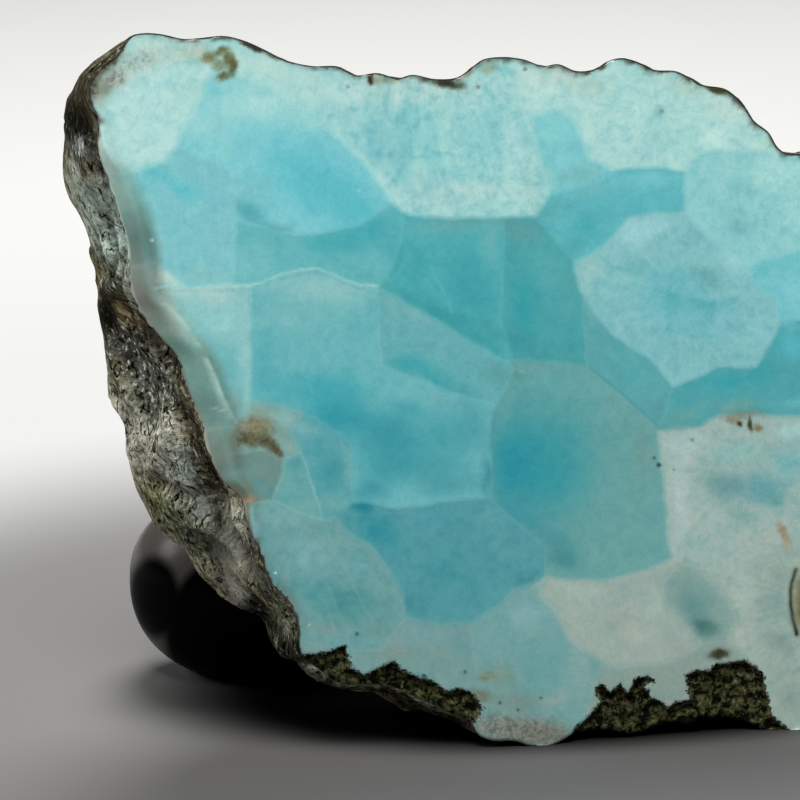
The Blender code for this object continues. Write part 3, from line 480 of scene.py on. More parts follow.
        [(-16.6, -5.5), (-13.8, -4.9), (-11.5, -5.9), (-12, -8), (-12.8, -10), (-14.8, -10.6),
         (-16.2, -8.5)],
        (103, 137, 131), (-13.6, -8.8, 1.4, 0.7, -30, (95, 142, 143)),
        (-15, -7, 1.2, 0.6, 0, (105, 144, 138)), blur=0.35,
    ),
    cell(
        [(-11.5, -5.9), (-9.9, -5.2), (-8.9, -8), (-7.9, -11.8), (-10, -11.2), (-12.8, -10), (-12, -8)],
        (100, 160, 160), (-10.4, -6.4, 0.9, 0.6, 0, (79, 149, 154)),
        (-9.6, -10.6, 1.4, 0.6, 0, (113, 163, 161)), blur=0.3,
    ),
    cell(
        [(-9.8, -1.4), (-6.5, -3), (-5, -4.2), (-4.7, -10), (-6.5, -11.7), (-7.9, -11.8), (-8.9, -8),
         (-9.9, -5.2), (-11, -3)],
        (86, 156, 163), (-9.4, -3, 1.2, 0.8, -30, (112, 169, 171)),
        (-8.4, -4.6, 0.9, 0.7, 0, (80, 154, 161)), (-6.9, -7.2, 1.3, 1.6, 0, (70, 145, 153)),
        (-5.4, -6.6, 2.6, 0.45, 86, (103, 162, 166)), (-6.8, -10.2, 1.5, 0.9, 10, (103, 160, 161)),
        blur=0.25,
    ),
    cell(
        [(-15.7, -2.5), (-14.9, -0.2), (-13, -0.4), (-9.8, -1.4), (-11, -3), (-9.9, -5.2), (-11.5, -5.9),
         (-13.8, -4.9), (-16.6, -5.5), (-17, -3.6)],
        (126, 160, 153), (-11.4, -2, 1.6, 0.8, -10, (131, 174, 172)),
        (-11.4, -4.6, 0.8, 0.7, 0, (128, 164, 158)), (-16.6, -3.6, 0.8, 1, 0, (112, 126, 110)), blur=0.5,
    ),
    cell(
        [(-10, -24), (-6, -25), (-2, -25), (0.5, -21.8), (4, -22.5), (7, -22.3), (7.6, -26), (8, -30),
         (7, -33), (0, -30), (-6, -29)],
        (115, 152, 149), (2.6, -23.8, 3, 0.8, 0, (116, 158, 159)),
        (-6, -23.8, 2.4, 0.7, 0, (116, 145, 140)), (-1, -25.2, 2, 0.8, 0, (120, 146, 140)),
        (6.4, -24.6, 1, 1.2, 0, (104, 149, 152)), blur=0.5,
    ),
    cell(
        [(7, -22.3), (10, -20.4), (11.5, -19), (14.5, -17.9), (15.5, -21), (17, -24), (20, -26.8),
         (19, -30), (17, -35), (8, -36), (7, -33), (8, -30), (7.6, -26)],
        (112, 159, 158), (12.8, -21.4, 2.8, 1.2, 10, (122, 167, 167)),
        (14.6, -26.6, 2.6, 2, 60, (105, 157, 157)), (18, -26.8, 2.6, 1, 100, (131, 165, 162)),
        (10, -27.6, 2, 1.4, 0, (114, 148, 140)), (11.4, -30.2, 3.2, 1, 0, (117, 144, 138)),
        (15.8, -29.8, 1.8, 1, 20, (131, 162, 158)), blur=0.4,
    ),
    cell(
        [(20, -26.8), (22, -26.8), (28, -26), (30.2, -24.3), (32.7, -24), (34.5, -26), (34, -34), (24, -34),
         (18, -35), (19, -30)],
        (133, 155, 147), (21.4, -26.6, 1.6, 1, 0, (124, 159, 152)),
        (28.6, -27.6, 1.6, 1.4, 0, (140, 158, 149)), blur=0.5,
    ),
    cell(
        [(33.7, -22), (32.7, -19.8), (30.2, -17.2), (32.2, -16.8), (36, -15.2), (39, -14.8), (46, -12),
         (50, -20), (46, -30), (41, -36), (34.5, -34), (34.5, -26), (32.7, -24)],
        (149, 171, 162), (34.2, -18.8, 1.4, 2.2, 0, (161, 181, 172)),
        (34.4, -23.4, 1.8, 1.2, 0, (163, 178, 168)), (36.4, -20, 1.6, 0.5, 0, (136, 165, 159)),
        (36.8, -18.6, 1.4, 0.4, -14, (138, 162, 154)), (38, -24.4, 1.6, 0.8, -36, (132, 153, 146)),
        (38.4, -17.6, 1, 1, 0, (138, 160, 149)), (37.6, -27, 1.4, 0.8, 0, (149, 167, 155)),
        (39, -29.8, 1.4, 2, 0, (138, 160, 152)), (37.4, -20.6, 1.8, 1.6, 0, (132, 159, 151)),
        (44, -20, 2.6, 4, 0, (140, 170, 166)), blur=0.5, fibre=0.3, fan=(42, -20),
    ),
    cell(
        [(50, 25), (60, 20), (61, 8), (50, 8.2), (50, 15.5)],
        (140, 198, 200), (54, 13, 3.4, 2.6, 20, (98, 178, 186)), (56, 18, 3, 2, 0, (160, 206, 204)),
        fibre=0.4, fan=(54, 13),
    ),
    cell(
        [(50, 8.2), (61, 8), (62, -2), (53, -5), (45, -3), (50, -0.5)],
        (108, 176, 182), (54, 3, 3.6, 2.4, -10, (76, 160, 170)), (58, 0, 2, 2, 0, (124, 184, 188)),
    ),
    cell(
        [(45, -3), (53, -5), (62, -2), (62, -16), (53, -16), (46, -12)],
        (158, 185, 180), (53, -10, 3.4, 2.2, 10, (108, 166, 172)), (50, -6, 2, 1, 0, (170, 196, 190)),
        fibre=0.6, fan=(53, -10),
    ),
    cell(
        [(46, -12), (53, -16), (62, -16), (55, -28), (48, -30), (50, -20)],
        (124, 168, 167), (52, -20, 3.6, 2.4, 80, (86, 152, 158)), (54, -25, 2, 2, 0, (130, 160, 154)),
    ),
]

# Walls between the cells, how far the pattern wanders, and how the fibres run, mm
WALL_COLOUR = (172, 204, 200)
WALL_WIDTH = 0.11
WALL_STRENGTH = 0.12
WALL_PATCH_SIZE = 2.6
WARP = 0.2
WARP_SIZE = 2.4
TONE_POWER = 1.25
STAIN_POWER = 1.8
RIND_POWER = 1.4
TONE_WARP = 0.55
TONE_WARP_SIZE = 2.8
STAIN_WARP = 0.3
STAIN_WARP_SIZE = 1.0
FIBRES_AROUND = 9.0
FIBRE_CHANGE = 0.15
FIBRE_FADE = 0.5

# Lines in the face, pale veins and dark seams, and one painted highlight: points, half width, colour,
# strength
LINES = [
    ([(-24.4, 11.3), (-21.5, 11.4), (-18.5, 11.4), (-15, 11.5), (-13.8, 11.8), (-12, 12.6), (-10, 13.1),
      (-8.5, 13.2), (-7, 12.8), (-5.5, 12), (-4, 11.5), (-2.2, 11.4)], 0.13, (168, 212, 208), 0.55),
    ([(-24.2, 10.9), (-21.5, 11), (-18.5, 11), (-15, 11.1)], 0.1, (138, 178, 172), 0.5),
    ([(-12, 12.1), (-10, 12.7), (-8.5, 12.8), (-7, 12.3), (-5.5, 11.6), (-3.6, 11.1)],
     0.12, (108, 160, 162), 0.45),
    ([(-16.5, 21.4), (-16.5, 18), (-16.7, 12.2)], 0.12, (140, 194, 196), 0.2),
    ([(-16, 18.4), (-14, 17.6), (-11.6, 17)], 0.14, (78, 156, 164), 0.4),
    ([(0.4, 15.2), (-0.4, 13.4), (-1.6, 11.6)], 0.35, (60, 146, 153), 0.45),
    ([(-1.2, 11.4), (1, 10.1), (3, 9), (5, 7.8), (7, 6.4), (9.6, 5)], 0.42, (57, 143, 150), 0.55),
    ([(11.6, 4.5), (14, 4.5), (16.5, 4.2), (18.4, 3.8)], 0.34, (66, 141, 146), 0.5),
    ([(3, 17.9), (6, 17.9), (10, 17.8), (13.4, 17.8)], 0.42, (90, 154, 157), 0.45),
    ([(19, 3.2), (21, 1.6), (23, -0.1), (25, -1.9), (26, -2.9)], 0.12, (76, 136, 138), 0.65),
    ([(26, -2.9), (28, -2.9), (30.2, -2.4), (31.4, -1.6)], 0.22, (92, 140, 136), 0.45),
    ([(18.3, 10), (18.4, 7), (18.8, 3.6)], 0.13, (104, 168, 168), 0.35),
    ([(9.2, -1.5), (9.2, -5), (9.1, -9.4)], 0.3, (68, 140, 147), 0.4),
    ([(3.2, 13.2), (4, 11.6), (4.8, 9.7), (5.2, 8.9)], 0.1, (112, 180, 184), 0.45),
    ([(-2.2, 9), (-2.1, 6), (-1.7, 3.4)], 0.14, (122, 178, 180), 0.3),
    ([(-15.1, 10.6), (-14.8, 7), (-14.8, 2), (-15, 0)], 0.12, (78, 158, 166), 0.2),
    ([(-9.9, -5.3), (-9.3, -6.9), (-8.7, -8.6), (-8.1, -10.6), (-7.9, -11.8)], 0.12, (136, 180, 178), 0.55),
    ([(-7.9, -11.8), (-7, -13.8), (-5.8, -16), (-4.8, -18.2), (-3.9, -20.2), (-2.6, -22.2)],
     0.12, (126, 172, 170), 0.4),
    ([(-11.4, -6), (-11.8, -7.8), (-12.7, -9.8)], 0.12, (132, 170, 166), 0.5),
    ([(-14.4, -10.3), (-12.6, -10.1), (-10, -11.4), (-8, -12), (-6.8, -12.2)], 0.13, (140, 182, 178), 0.35),
    ([(-6, -4), (-5.2, -5.5), (-4.8, -7.5), (-4.8, -9.2), (-5.8, -10.6)], 0.22, (110, 166, 168), 0.45),
    ([(11.4, 3.2), (12.4, 2.8)], 0.12, (140, 176, 170), 0.5),
    # Painted highlight: the pale glint along the left edge of the face.
    ([(-23.5, 9.5), (-21.7, 7.8), (-20.5, 6), (-19.5, 4.8), (-18.8, 3), (-18.2, 1.5), (-17.7, 0.2),
      (-17, -1.2), (-16.4, -2.3)], 0.11, (196, 222, 212), 0.55),
    ([(20.4, -18.6), (18.6, -21.6), (16.8, -24)], 0.14, (146, 178, 172), 0.3),
    ([(39.6, -17), (39.2, -18.4), (39.1, -20.2), (39.3, -22), (39.7, -23.4)], 0.2, (22, 22, 14), 1),
]
RIM_COLOUR = (44, 42, 30)
RIM_WIDTH = 0.3
RIM_PATCH_SIZE = 2.2

# Stains on the face: (right, up, half length, half width, tilt, colour, strength, grit)
STAINS = [
    (-19.1, 34.2, 0.8, 0.5, 10, (112, 118, 78), 0.8, 0.45),
    (-17.9, 34.9, 0.9, 0.45, 15, (104, 108, 66), 0.85, 0.5),
    (-17, 34.1, 0.8, 0.6, -60, (100, 102, 62), 0.85, 0.6),
    (-16.7, 33.3, 0.8, 0.5, 85, (92, 94, 58), 0.85, 0.6),
    (-17.6, 32.4, 0.8, 0.45, 15, (106, 108, 72), 0.85, 0.6),
    (-17.9, 33.5, 0.9, 0.6, 0, (122, 128, 96), 0.75, 0.3), (-30, 34.3, 3.8, 0.9, 44, (44, 42, 30), 1, 0.9),
    (-31.9, 31, 2.4, 0.7, 84, (40, 38, 28), 1, 0.9), (-29.4, 33.5, 1.9, 0.7, 42, (84, 84, 66), 0.7, 1.3),
    (-30.7, 31.2, 1.3, 0.6, 76, (70, 68, 52), 0.7, 1.3),
    (-28.4, 32.2, 1.2, 0.9, 40, (150, 156, 142), 0.6, 1.2),
    (-26.6, 33.8, 2.8, 1, 16, (166, 194, 186), 0.4, 0.9),
    (-30.4, 30.6, 1, 0.5, 80, (150, 158, 148), 0.6, 0.1),
    (-29.6, 31, 0.7, 0.6, 0, (128, 140, 112), 0.5, 0.2),
    (-14.3, 35.2, 2.3, 0.35, -24, (52, 50, 32), 0.9, 0.5), (-2.9, 32, 0.55, 0.45, 60, (26, 22, 12), 1, 0.2),
    (-1.6, 32, 1.3, 0.5, 0, (142, 148, 122), 0.7, 0.3), (4.6, 31.7, 1.7, 0.5, -12, (46, 48, 34), 0.95, 0.4),
    (6.6, 32.8, 1.3, 0.6, 45, (132, 138, 108), 0.6, 0.3),
    (8.9, 33.3, 1, 0.6, 20, (150, 164, 138), 0.6, 0.2),
    (19.5, 33.1, 1.3, 0.35, 22, (42, 40, 22), 0.95, 0.3),
    (31.7, 31, 1.5, 0.5, -22, (60, 58, 34), 0.95, 0.3),
    (-14.4, -2.8, 1.9, 1.3, 0, (134, 130, 102), 0.9, 0.5),
    (-15.2, -3.9, 1.2, 0.7, -16, (98, 96, 72), 0.9, 0.7),
    (-13.2, -4.3, 1.4, 0.6, -38, (96, 92, 68), 0.95, 0.7),
    (-12.3, -5.1, 0.7, 0.4, -40, (88, 82, 62), 0.9, 0.7),
    (-16.4, -4, 0.9, 0.5, 80, (116, 122, 104), 0.7, 0.7),
    (-15.2, -10, 0.9, 0.4, 10, (156, 126, 88), 0.85, 0.2), (-15.8, -9, 1, 0.6, 0, (118, 122, 96), 0.6, 0.4),
    (34.4, -1.5, 2.2, 0.5, 4, (126, 136, 116), 0.7, 0.2),
    (33.4, -2.1, 0.9, 0.35, -20, (132, 124, 100), 0.7, 0.4),
    (34, -2.4, 0.4, 0.2, -50, (52, 50, 34), 0.9, 0.2), (35, -2.4, 0.7, 0.22, 95, (50, 52, 24), 0.95, 0.2),
    (35.8, -2.8, 0.5, 0.4, 0, (126, 120, 82), 0.9, 0.3),
    (38.4, -13.3, 1.2, 0.4, -62, (158, 132, 106), 0.8, 0.2),
    (38.7, -14.5, 1, 0.5, -80, (152, 152, 130), 0.6, 0.1),
    (8.7, -27.6, 1.1, 0.4, 12, (122, 132, 104), 0.7, 0.3),
    (8, -29.6, 1.2, 0.7, 0, (116, 120, 104), 0.8, 0.5),
    (11.6, -33, 5.2, 1.6, -4, (132, 137, 128), 0.95, 0.6),
    (14.6, -33.6, 2.4, 1.2, 0, (124, 126, 114), 0.8, 0.6),
    (31.9, -25.4, 0.9, 0.55, 10, (58, 56, 36), 1, 0.9), (41, -20.2, 3.3, 1.6, 90, (104, 92, 50), 1, 0.2),
]

# Small spots on the face: (right, up, radius, colour). The four near-white ones near its left edge are
# painted glints.
SPECKS = [
    (25.9, -6.5, 0.2, (40, 48, 40)), (25.4, -5.8, 0.16, (64, 76, 66)), (29.2, -4, 0.18, (110, 130, 124)),
    (27.4, -7, 0.14, (118, 138, 130)), (12.5, 33.1, 0.2, (110, 130, 122)),
    (7.8, 31.3, 0.2, (116, 140, 130)), (26.2, 28.9, 0.16, (112, 150, 148)),
    (-5.2, 31.3, 0.18, (130, 150, 146)), (2.4, -27.6, 0.2, (36, 48, 42)), (6.5, -27.2, 0.2, (76, 98, 92)),
    (14.1, -29.8, 0.14, (70, 86, 80)), (10, -30.3, 0.16, (60, 70, 62)), (11.8, -31, 0.14, (50, 58, 52)),
    (-4.3, -23.4, 0.2, (60, 86, 78)), (-12.5, -17.3, 0.1, (235, 245, 240)),
    (-9, -22.5, 0.1, (225, 235, 230)), (-18.4, -0.8, 0.1, (225, 235, 225)),
    (-17.9, -1.1, 0.08, (235, 240, 230)), (-4.1, 21, 0.12, (150, 205, 208)),
    (-24.8, 16, 0.14, (190, 214, 200)), (-7.2, 22.9, 0.2, (82, 178, 186)), (-9, 24.2, 0.3, (96, 188, 190)),
]

# Tones of the left rind: (right, up, half length, half width, tilt, colour, strength, sparkle)
RIND_TONES = [
    (-32.3, 28.2, 4.6, 2, 92, (6, 6, 3), 1, 0.04), (-32, 25.4, 1.6, 1, 100, (84, 86, 84), 0.9, 0.7),
    (-32.6, 21.8, 2, 1, 100, (100, 104, 93), 1, 0.15), (-30.6, 19.4, 3, 1.4, 110, (92, 104, 95), 0.95, 0.1),
    (-29.2, 16, 3.6, 1.6, 112, (122, 133, 124), 1, 0.25),
    (-28.7, 20.4, 2.6, 0.8, 108, (122, 137, 128), 1, 0.1),
    (-27.6, 15.6, 3, 0.8, 104, (124, 141, 132), 1, 0.1),
    (-26.6, 11.2, 2.4, 0.8, 112, (104, 112, 102), 1, 0.2),
    (-27.8, 13.6, 1.6, 1.2, 100, (88, 94, 82), 0.9, 0.4),
    (-28.8, 11.6, 1.3, 0.8, 20, (50, 52, 44), 0.9, 0.8), (-29.2, 8.6, 2.4, 1.3, 100, (8, 8, 4), 1, 0.02),
    (-27.6, 8.6, 1.8, 0.6, 120, (128, 112, 78), 0.8, 0.2),
    (-27.6, 5.4, 2.2, 1.8, 120, (66, 68, 62), 0.95, 0.9), (-25, 2.6, 3.2, 2, 120, (84, 88, 80), 0.95, 1),
    (-24.2, -1.4, 2, 1.6, 110, (78, 80, 70), 0.9, 0.8),
    (-23.4, -3.4, 2.6, 1.8, 105, (132, 132, 118), 1, 0.2),
    (-24.2, -6, 2.4, 1.6, 110, (102, 102, 93), 1, 0.2),
    (-21.6, -6.6, 2.6, 1.4, 115, (100, 107, 100), 1, 0.2),
    (-24, -10.4, 3.2, 1.3, 120, (79, 81, 57), 0.95, 0.6),
    (-21.4, -12.4, 2.6, 1.3, 125, (74, 78, 64), 0.95, 0.6),
    (-19.8, -10.6, 1.8, 1.1, 110, (94, 100, 95), 1, 0.05),
    (-17, -11.2, 2.2, 1, 110, (126, 128, 112), 1, 0.2), (-16.4, -14.6, 3.4, 1.1, 122, (94, 94, 86), 1, 0),
    (-18.1, -12, 1.6, 0.35, 95, (20, 20, 12), 1, 0),
    (-19.4, -15.8, 2.4, 1.2, 125, (104, 106, 87), 0.95, 0.5),
    (-17.6, -15.4, 2.4, 1.3, 120, (88, 89, 81), 1, 0),
    (-16.2, -19.2, 2.8, 1.3, 125, (144, 144, 132), 1, 0.05),
    (-14.2, -17.4, 2, 0.6, 116, (80, 80, 72), 1, 0),
    (-17.4, -20.6, 1.6, 0.8, 130, (112, 112, 98), 0.9, 0.6),
    (-13.6, -22.2, 3, 1.6, 132, (58, 61, 50), 1, 0.5), (-12, -21.3, 1.2, 0.8, 0, (104, 108, 88), 0.9, 0.3),
    (-11, -25.2, 2.4, 1, 140, (28, 30, 20), 1, 0.4), (-14.8, -13.4, 2.4, 0.45, 100, (64, 67, 62), 1, 0.1),
    (-13.6, -18, 2.4, 0.5, 118, (62, 62, 56), 1, 0.1),
    (-11.9, -21.4, 2.4, 0.9, 116, (104, 107, 88), 1, 0.4),
    (-10, -24.6, 1.6, 0.7, 130, (34, 36, 26), 1, 0.5),
]
RIND_BROWN = (62, 58, 44)
RIND_GREY = (118, 118, 106)
RIND_OLIVE = (88, 84, 56)
RIND_TONE_SIZE = np.array([9.0, 9.0, 3.5])
RIND_GREEN_SIZE = 6.0
RIND_SPARKLE = 0.4
# The rind's colours are divided by this share of light: painted lighter, as the rind lies turned from the
# light.
RIND_LIGHT = 0.58
TOP_START = 0.47
LOW_START = 0.3
CLOSE_REACH = 1.25
CLOSE_STRENGTH = 0.75
TOP_DARK = 0.8

# Colours of the ground edge beside the left rind, at heights in the view from the bottom up
EDGE_COLOURS = [
    (-30, (70, 80, 72)), (-22, (84, 100, 92)), (-19, (54, 56, 54)), (-13, (58, 68, 65)),
    (-10.5, (88, 96, 86)), (-7.5, (98, 128, 122)), (-6, (74, 92, 84)), (-4, (86, 108, 100)),
    (-1.5, (92, 126, 121)), (0, (86, 122, 116)), (2, (90, 126, 118)), (5, (95, 132, 121)),
    (7, (122, 146, 136)), (10, (88, 94, 86)), (13, (86, 100, 93)), (16, (62, 90, 85)), (19, (92, 127, 119)),
    (23, (124, 154, 147)), (26, (150, 174, 166)), (29, (152, 168, 160)), (33, (96, 98, 84)),
]
EDGE_FADE = 1.5
EDGE_WANDER = 0.8
EDGE_WANDER_SIZE = 1.6
EDGE_SHARES = [
    (-12, 0.15), (-5, 0.7), (4, 0.85), (6.5, 0.2), (9.2, 0.1), (11, 0.65), (18, 0.75), (26, 0.3),
]


def unit(*values):
    """A direction of length 1."""
    vector = np.array(values, dtype=float)
    return vector / np.linalg.norm(vector)


ACROSS = unit(1.0, 0.0, 0.0)
ALONG = unit(0.0, math.sin(LEAN), math.cos(LEAN))
INWARD = unit(0.0, math.cos(LEAN), -math.sin(LEAN))
VIEW_RIGHT = unit(math.cos(VIEW_TURN), -math.sin(VIEW_TURN), 0.0)
VIEW_BACK = unit(
    -math.sin(VIEW_TURN) * math.cos(VIEW_RISE),
    -math.cos(VIEW_TURN) * math.cos(VIEW_RISE),
    math.sin(VIEW_RISE),
)
VIEW_UP = np.cross(VIEW_BACK, VIEW_RIGHT)


def seen_to_stone(seen, depth):
    """Carries points seen in the view along their sight lines to a depth in the stone."""
    eye = VIEW_BACK * VIEW_DISTANCE
    sight = seen[:, :1] * VIEW_RIGHT + seen[:, 1:2] * VIEW_UP - eye
    reach = (depth - eye @ INWARD) / (sight @ INWARD)
    place = eye + sight * reach[:, None]
    return np.column_stack([place @ ACROSS, place @ ALONG])


def stone_to_seen(flat, depth):
    """Where points of the stone are seen in the view."""
    place = flat[:, :1] * ACROSS + flat[:, 1:2] * ALONG + depth[:, None] * INWARD
    scale = VIEW_DISTANCE / (VIEW_DISTANCE - place @ VIEW_BACK)
    return np.column_stack([place @ VIEW_RIGHT * scale, place @ VIEW_UP * scale])


def stone_to_world(flat, depth):
    """Points of the stone in the part's own frame, standing on the floor."""
    return FACE_MIDDLE + flat[:, :1] * ACROSS + flat[:, 1:2] * ALONG + depth[:, None] * INWARD


def closed_curve(points):
    """A smooth closed curve through the points, whatever their spacing."""
    here = np.array(points, dtype=float)
    after = np.roll(here, -1, axis=0)
    length_after = np.linalg.norm((after - here)[:, :2], axis=1)[:, None]
    slope_after = (after - here) / length_after
    length_before = np.roll(length_after, 1, axis=0)
    slope_before = np.roll(slope_after, 1, axis=0)
    slope = slope_after * length_before + slope_before * length_after
    slope /= length_before + length_after
    slope_next = np.roll(slope, -1, axis=0)
    pieces = []
    for step in range(CURVE_STEPS):
        t = step / CURVE_STEPS
        pieces.append(
            here * (2 * t**3 - 3 * t**2 + 1)
            + after * (3 * t**2 - 2 * t**3)
            + slope * length_after * (t**3 - 2 * t**2 + t)
            + slope_next * length_after * (t**3 - t**2)
        )
    return np.stack(pieces, axis=1).reshape(-1, here.shape[1])


def with_depth(edge, depth, offset=0.0):
    """The points of an edge at a depth, moved out from the middle of the stone by an offset."""
    points = np.array(edge, dtype=float)
    outward = points - STONE_CENTRE
    outward /= np.linalg.norm(outward, axis=1)[:, None]
    points = points + outward * offset
    return [(x, y, depth) for x, y in points]


class Line:
    """A closed line round the stone, as its radius and depth at each bearing from the centre."""

    def __init__(self, points):
        curve = closed_curve(points)
        flat = seen_to_stone(curve[:, :2], curve[:, 2]) - STONE_CENTRE
        bearing = np.arctan2(flat[:, 1], flat[:, 0])
        order = np.argsort(bearing)
        self.bearing = bearing[order]
        self.radius = np.linalg.norm(flat, axis=1)[order]
        self.depth = curve[order, 2]

    def at(self, bearing):
        radius = np.interp(bearing, self.bearing, self.radius, period=math.tau)
        depth = np.interp(bearing, self.bearing, self.depth, period=math.tau)
        return radius, depth


def slab_lines():
    """The edge of the face, the shoulder where the rind starts, and the widest line."""
    bare = TOP_EDGE + RIGHT_END + BOTTOM_EDGE
    face = Line(with_depth(bare + LEFT_FACE, 0.0))
    shoulder = Line(with_depth(bare, EDGE_DEPTH) + LEFT_SHOULDER)
    girth = Line(
        with_depth(TOP_EDGE, BARE_GIRTH_DEPTH, -TOP_INSET)
        + with_depth(RIGHT_END, BARE_GIRTH_DEPTH, RIGHT_FLARE)
        + with_depth(BOTTOM_EDGE, UNDERSIDE_START)
        + LEFT_RIND
    )
    return face, shoulder, girth


def column_bearings(girth, count):
    """Bearings that space the columns evenly along the widest line, and the length of that line."""
    x = girth.radius * np.cos(girth.bearing)
    y = girth.radius * np.sin(girth.bearing)
    steps = np.hypot(np.diff(x, append=x[0]), np.diff(y, append=y[0]))
    travelled = np.concatenate([[0.0], np.cumsum(steps)])
    bearings = np.append(girth.bearing, girth.bearing[0] + math.tau)
    even = np.arange(count) * travelled[-1] / count
    return np.interp(even, travelled, bearings), travelled[-1]


def line_distance(points, corners):
    """Distance of each point to an open line through the corners."""
    corners = np.array(corners, dtype=float)
    nearest = np.full(len(points), np.inf)
    for start, end in zip(corners[:-1], corners[1:]):
        side = end - start
        offset = points - start
        share = np.clip(offset @ side / (side @ side), 0.0, 1.0)
        nearest = np.minimum(nearest, np.linalg.norm(offset - share[:, None] * side, axis=1))
    return nearest


def polygon_distance(points, polygon):
    """Signed distance of each point to a polygon, positive inside."""
    corners = np.array(polygon, dtype=float)
    ends = np.roll(corners, -1, axis=0)
    inside = np.zeros(len(points), dtype=bool)
    for start, end in zip(corners, ends):
        side = end - start
        crosses = (start[1] > points[:, 1]) != (end[1] > points[:, 1])
        rise = side[1] if side[1] else 1.0
        inside ^= crosses & (points[:, 0] < start[0] + side[0] * (points[:, 1] - start[1]) / rise)
    nearest = line_distance(points, np.vstack([corners, corners[:1]]))
    return np.where(inside, nearest, -nearest)


def rough(x, y, z):
    """Smooth noise at many points, about -1 to 1."""
    return np.array([noise.noise(Vector(p)) for p in zip(x, y, z)])


def flat_noise(points, size, layer):
    """Smooth noise over a plane, with features of a size. The layer tells one pattern from another."""
    return rough(points[:, 0] / size, points[:, 1] / size, np.full(len(points), layer))


def smooth(share):
    """A share from 0 to 1 with soft ends."""
    share = np.clip(share, 0.0, 1.0)
    return share * share * (3.0 - 2.0 * share)


def spot(points, right, up, half_length, half_width, tilt, power=1.0):
    """A soft round patch: 1 at its middle, and falling past its half sizes."""
    turn = math.radians(tilt)
    x = points[:, 0] - right
    y = points[:, 1] - up
    lengthwise = (x * math.cos(turn) + y * math.sin(turn)) / half_length
    crosswise = (y * math.cos(turn) - x * math.sin(turn)) / half_width
    return np.exp(-((lengthwise**2 + crosswise**2) ** power))


def pocket_distance(seen):
    """Signed distance to the matrix pockets, positive inside."""
    return np.max([polygon_distance(seen, pocket) for pocket in POCKETS], axis=0)


def pocket_depth(seen):
    """How far the matrix pockets sink the face at points of the view."""
    share = np.clip(pocket_distance(seen) / POCKET_SLOPE, 0.0, 1.0)
    grain = rough(seen[:, 0] * 0.9, seen[:, 1] * 0.9, np.full(len(seen), 3.0))
    fine = flat_noise(seen, GRIT_SIZE, 40.0)
    return share * (POCKET_DEPTH + POCKET_GRAIN * grain + GRIT_DEPTH * fine)


def rind_forms(seen):
    """Hollows and bosses that are listed for the left rind."""
    total = np.zeros(len(seen))
    for *place, height in RIND_FORMS:
        total += height * spot(seen, *place)
    return total


def rind_relief(bearing, radius, depth):
    """Ledges that run along the rim of the stone, and lumps, all below a ceiling."""
    turn_x = np.cos(bearing) * radius
    turn_y = np.sin(bearing) * radius
    wander = rough(turn_x / LEDGE_LENGTH, turn_y / LEDGE_LENGTH, depth / THICKNESS + 7.0)
    across = depth / LEDGE_PITCH + LEDGE_WANDER * wander
    ledge = rough(turn_x / LEDGE_LENGTH, turn_y / LEDGE_LENGTH, across)
    crest = 1.0 - np.abs(ledge) * LEDGE_SHARPNESS
    lump = rough(turn_x / LUMP_SIZE, turn_y / LUMP_SIZE, depth / LUMP_SIZE + 21.0)
    relief = LEDGE_DEPTH * (crest - LEDGE_LEVEL) + LUMP_DEPTH * lump
    return np.minimum(relief, RELIEF_CEILING)


def fine_relief(rim):
    """Cracks along the rim and grit, in places round the rim: below zero in the cracks."""
    bend = rough(rim[:, 0] / CRACK_BEND_SIZE, rim[:, 1] / CRACK_BEND_SIZE, rim[:, 2] / 3.0 + 11.0)
    across = rim[:, 2] / CRACK_PITCH + CRACK_BEND * bend
    crack = np.abs(rough(rim[:, 0] / CRACK_LENGTH, rim[:, 1] / CRACK_LENGTH, across))
    grit = rough(*(rim / GRIT_SIZE + 5.0).T)
    return CRACK_DEPTH * (np.minimum(crack * CRACK_SHARPNESS, 1.0) - 1.0) + GRIT_DEPTH * grit


def ragged_line(rim):
    """How ragged the line is where the rind starts, in places round the rim, about -1 to 1."""
    coarse = rough(*(rim / RAG_SIZE + 71.0).T)
    return 0.8 * coarse + 0.5 * rough(*(rim / FINE_RAG_SIZE + 75.0).T)


def underside_lift(flat, depth, girth_depth, bearing):
    """How far the underside rises behind its lowest line, least above the deep right foot."""
    facing_down = np.clip(-np.sin(bearing), 0.0, 1.0) ** 2
    near_foot = np.exp(-(((flat[:, 0] - RIGHT_FOOT_ACROSS) / RIGHT_FOOT_REACH) ** 2))
    rise = UNDERSIDE_RISE + (RIGHT_FOOT_RISE - UNDERSIDE_RISE) * near_foot
    return rise * facing_down * np.maximum(depth - girth_depth, 0.0)


Walls = namedtuple("Walls", "face_radius shoulder_depth girth_radius girth_depth profile")
Ring = namedtuple("Ring", "flat depth rim rind relief")


def ring_shares(count, first=1):
    """The shares of the way across a part of the wall at which its rings lie."""
    return [step / count for step in range(first, count + 1)]


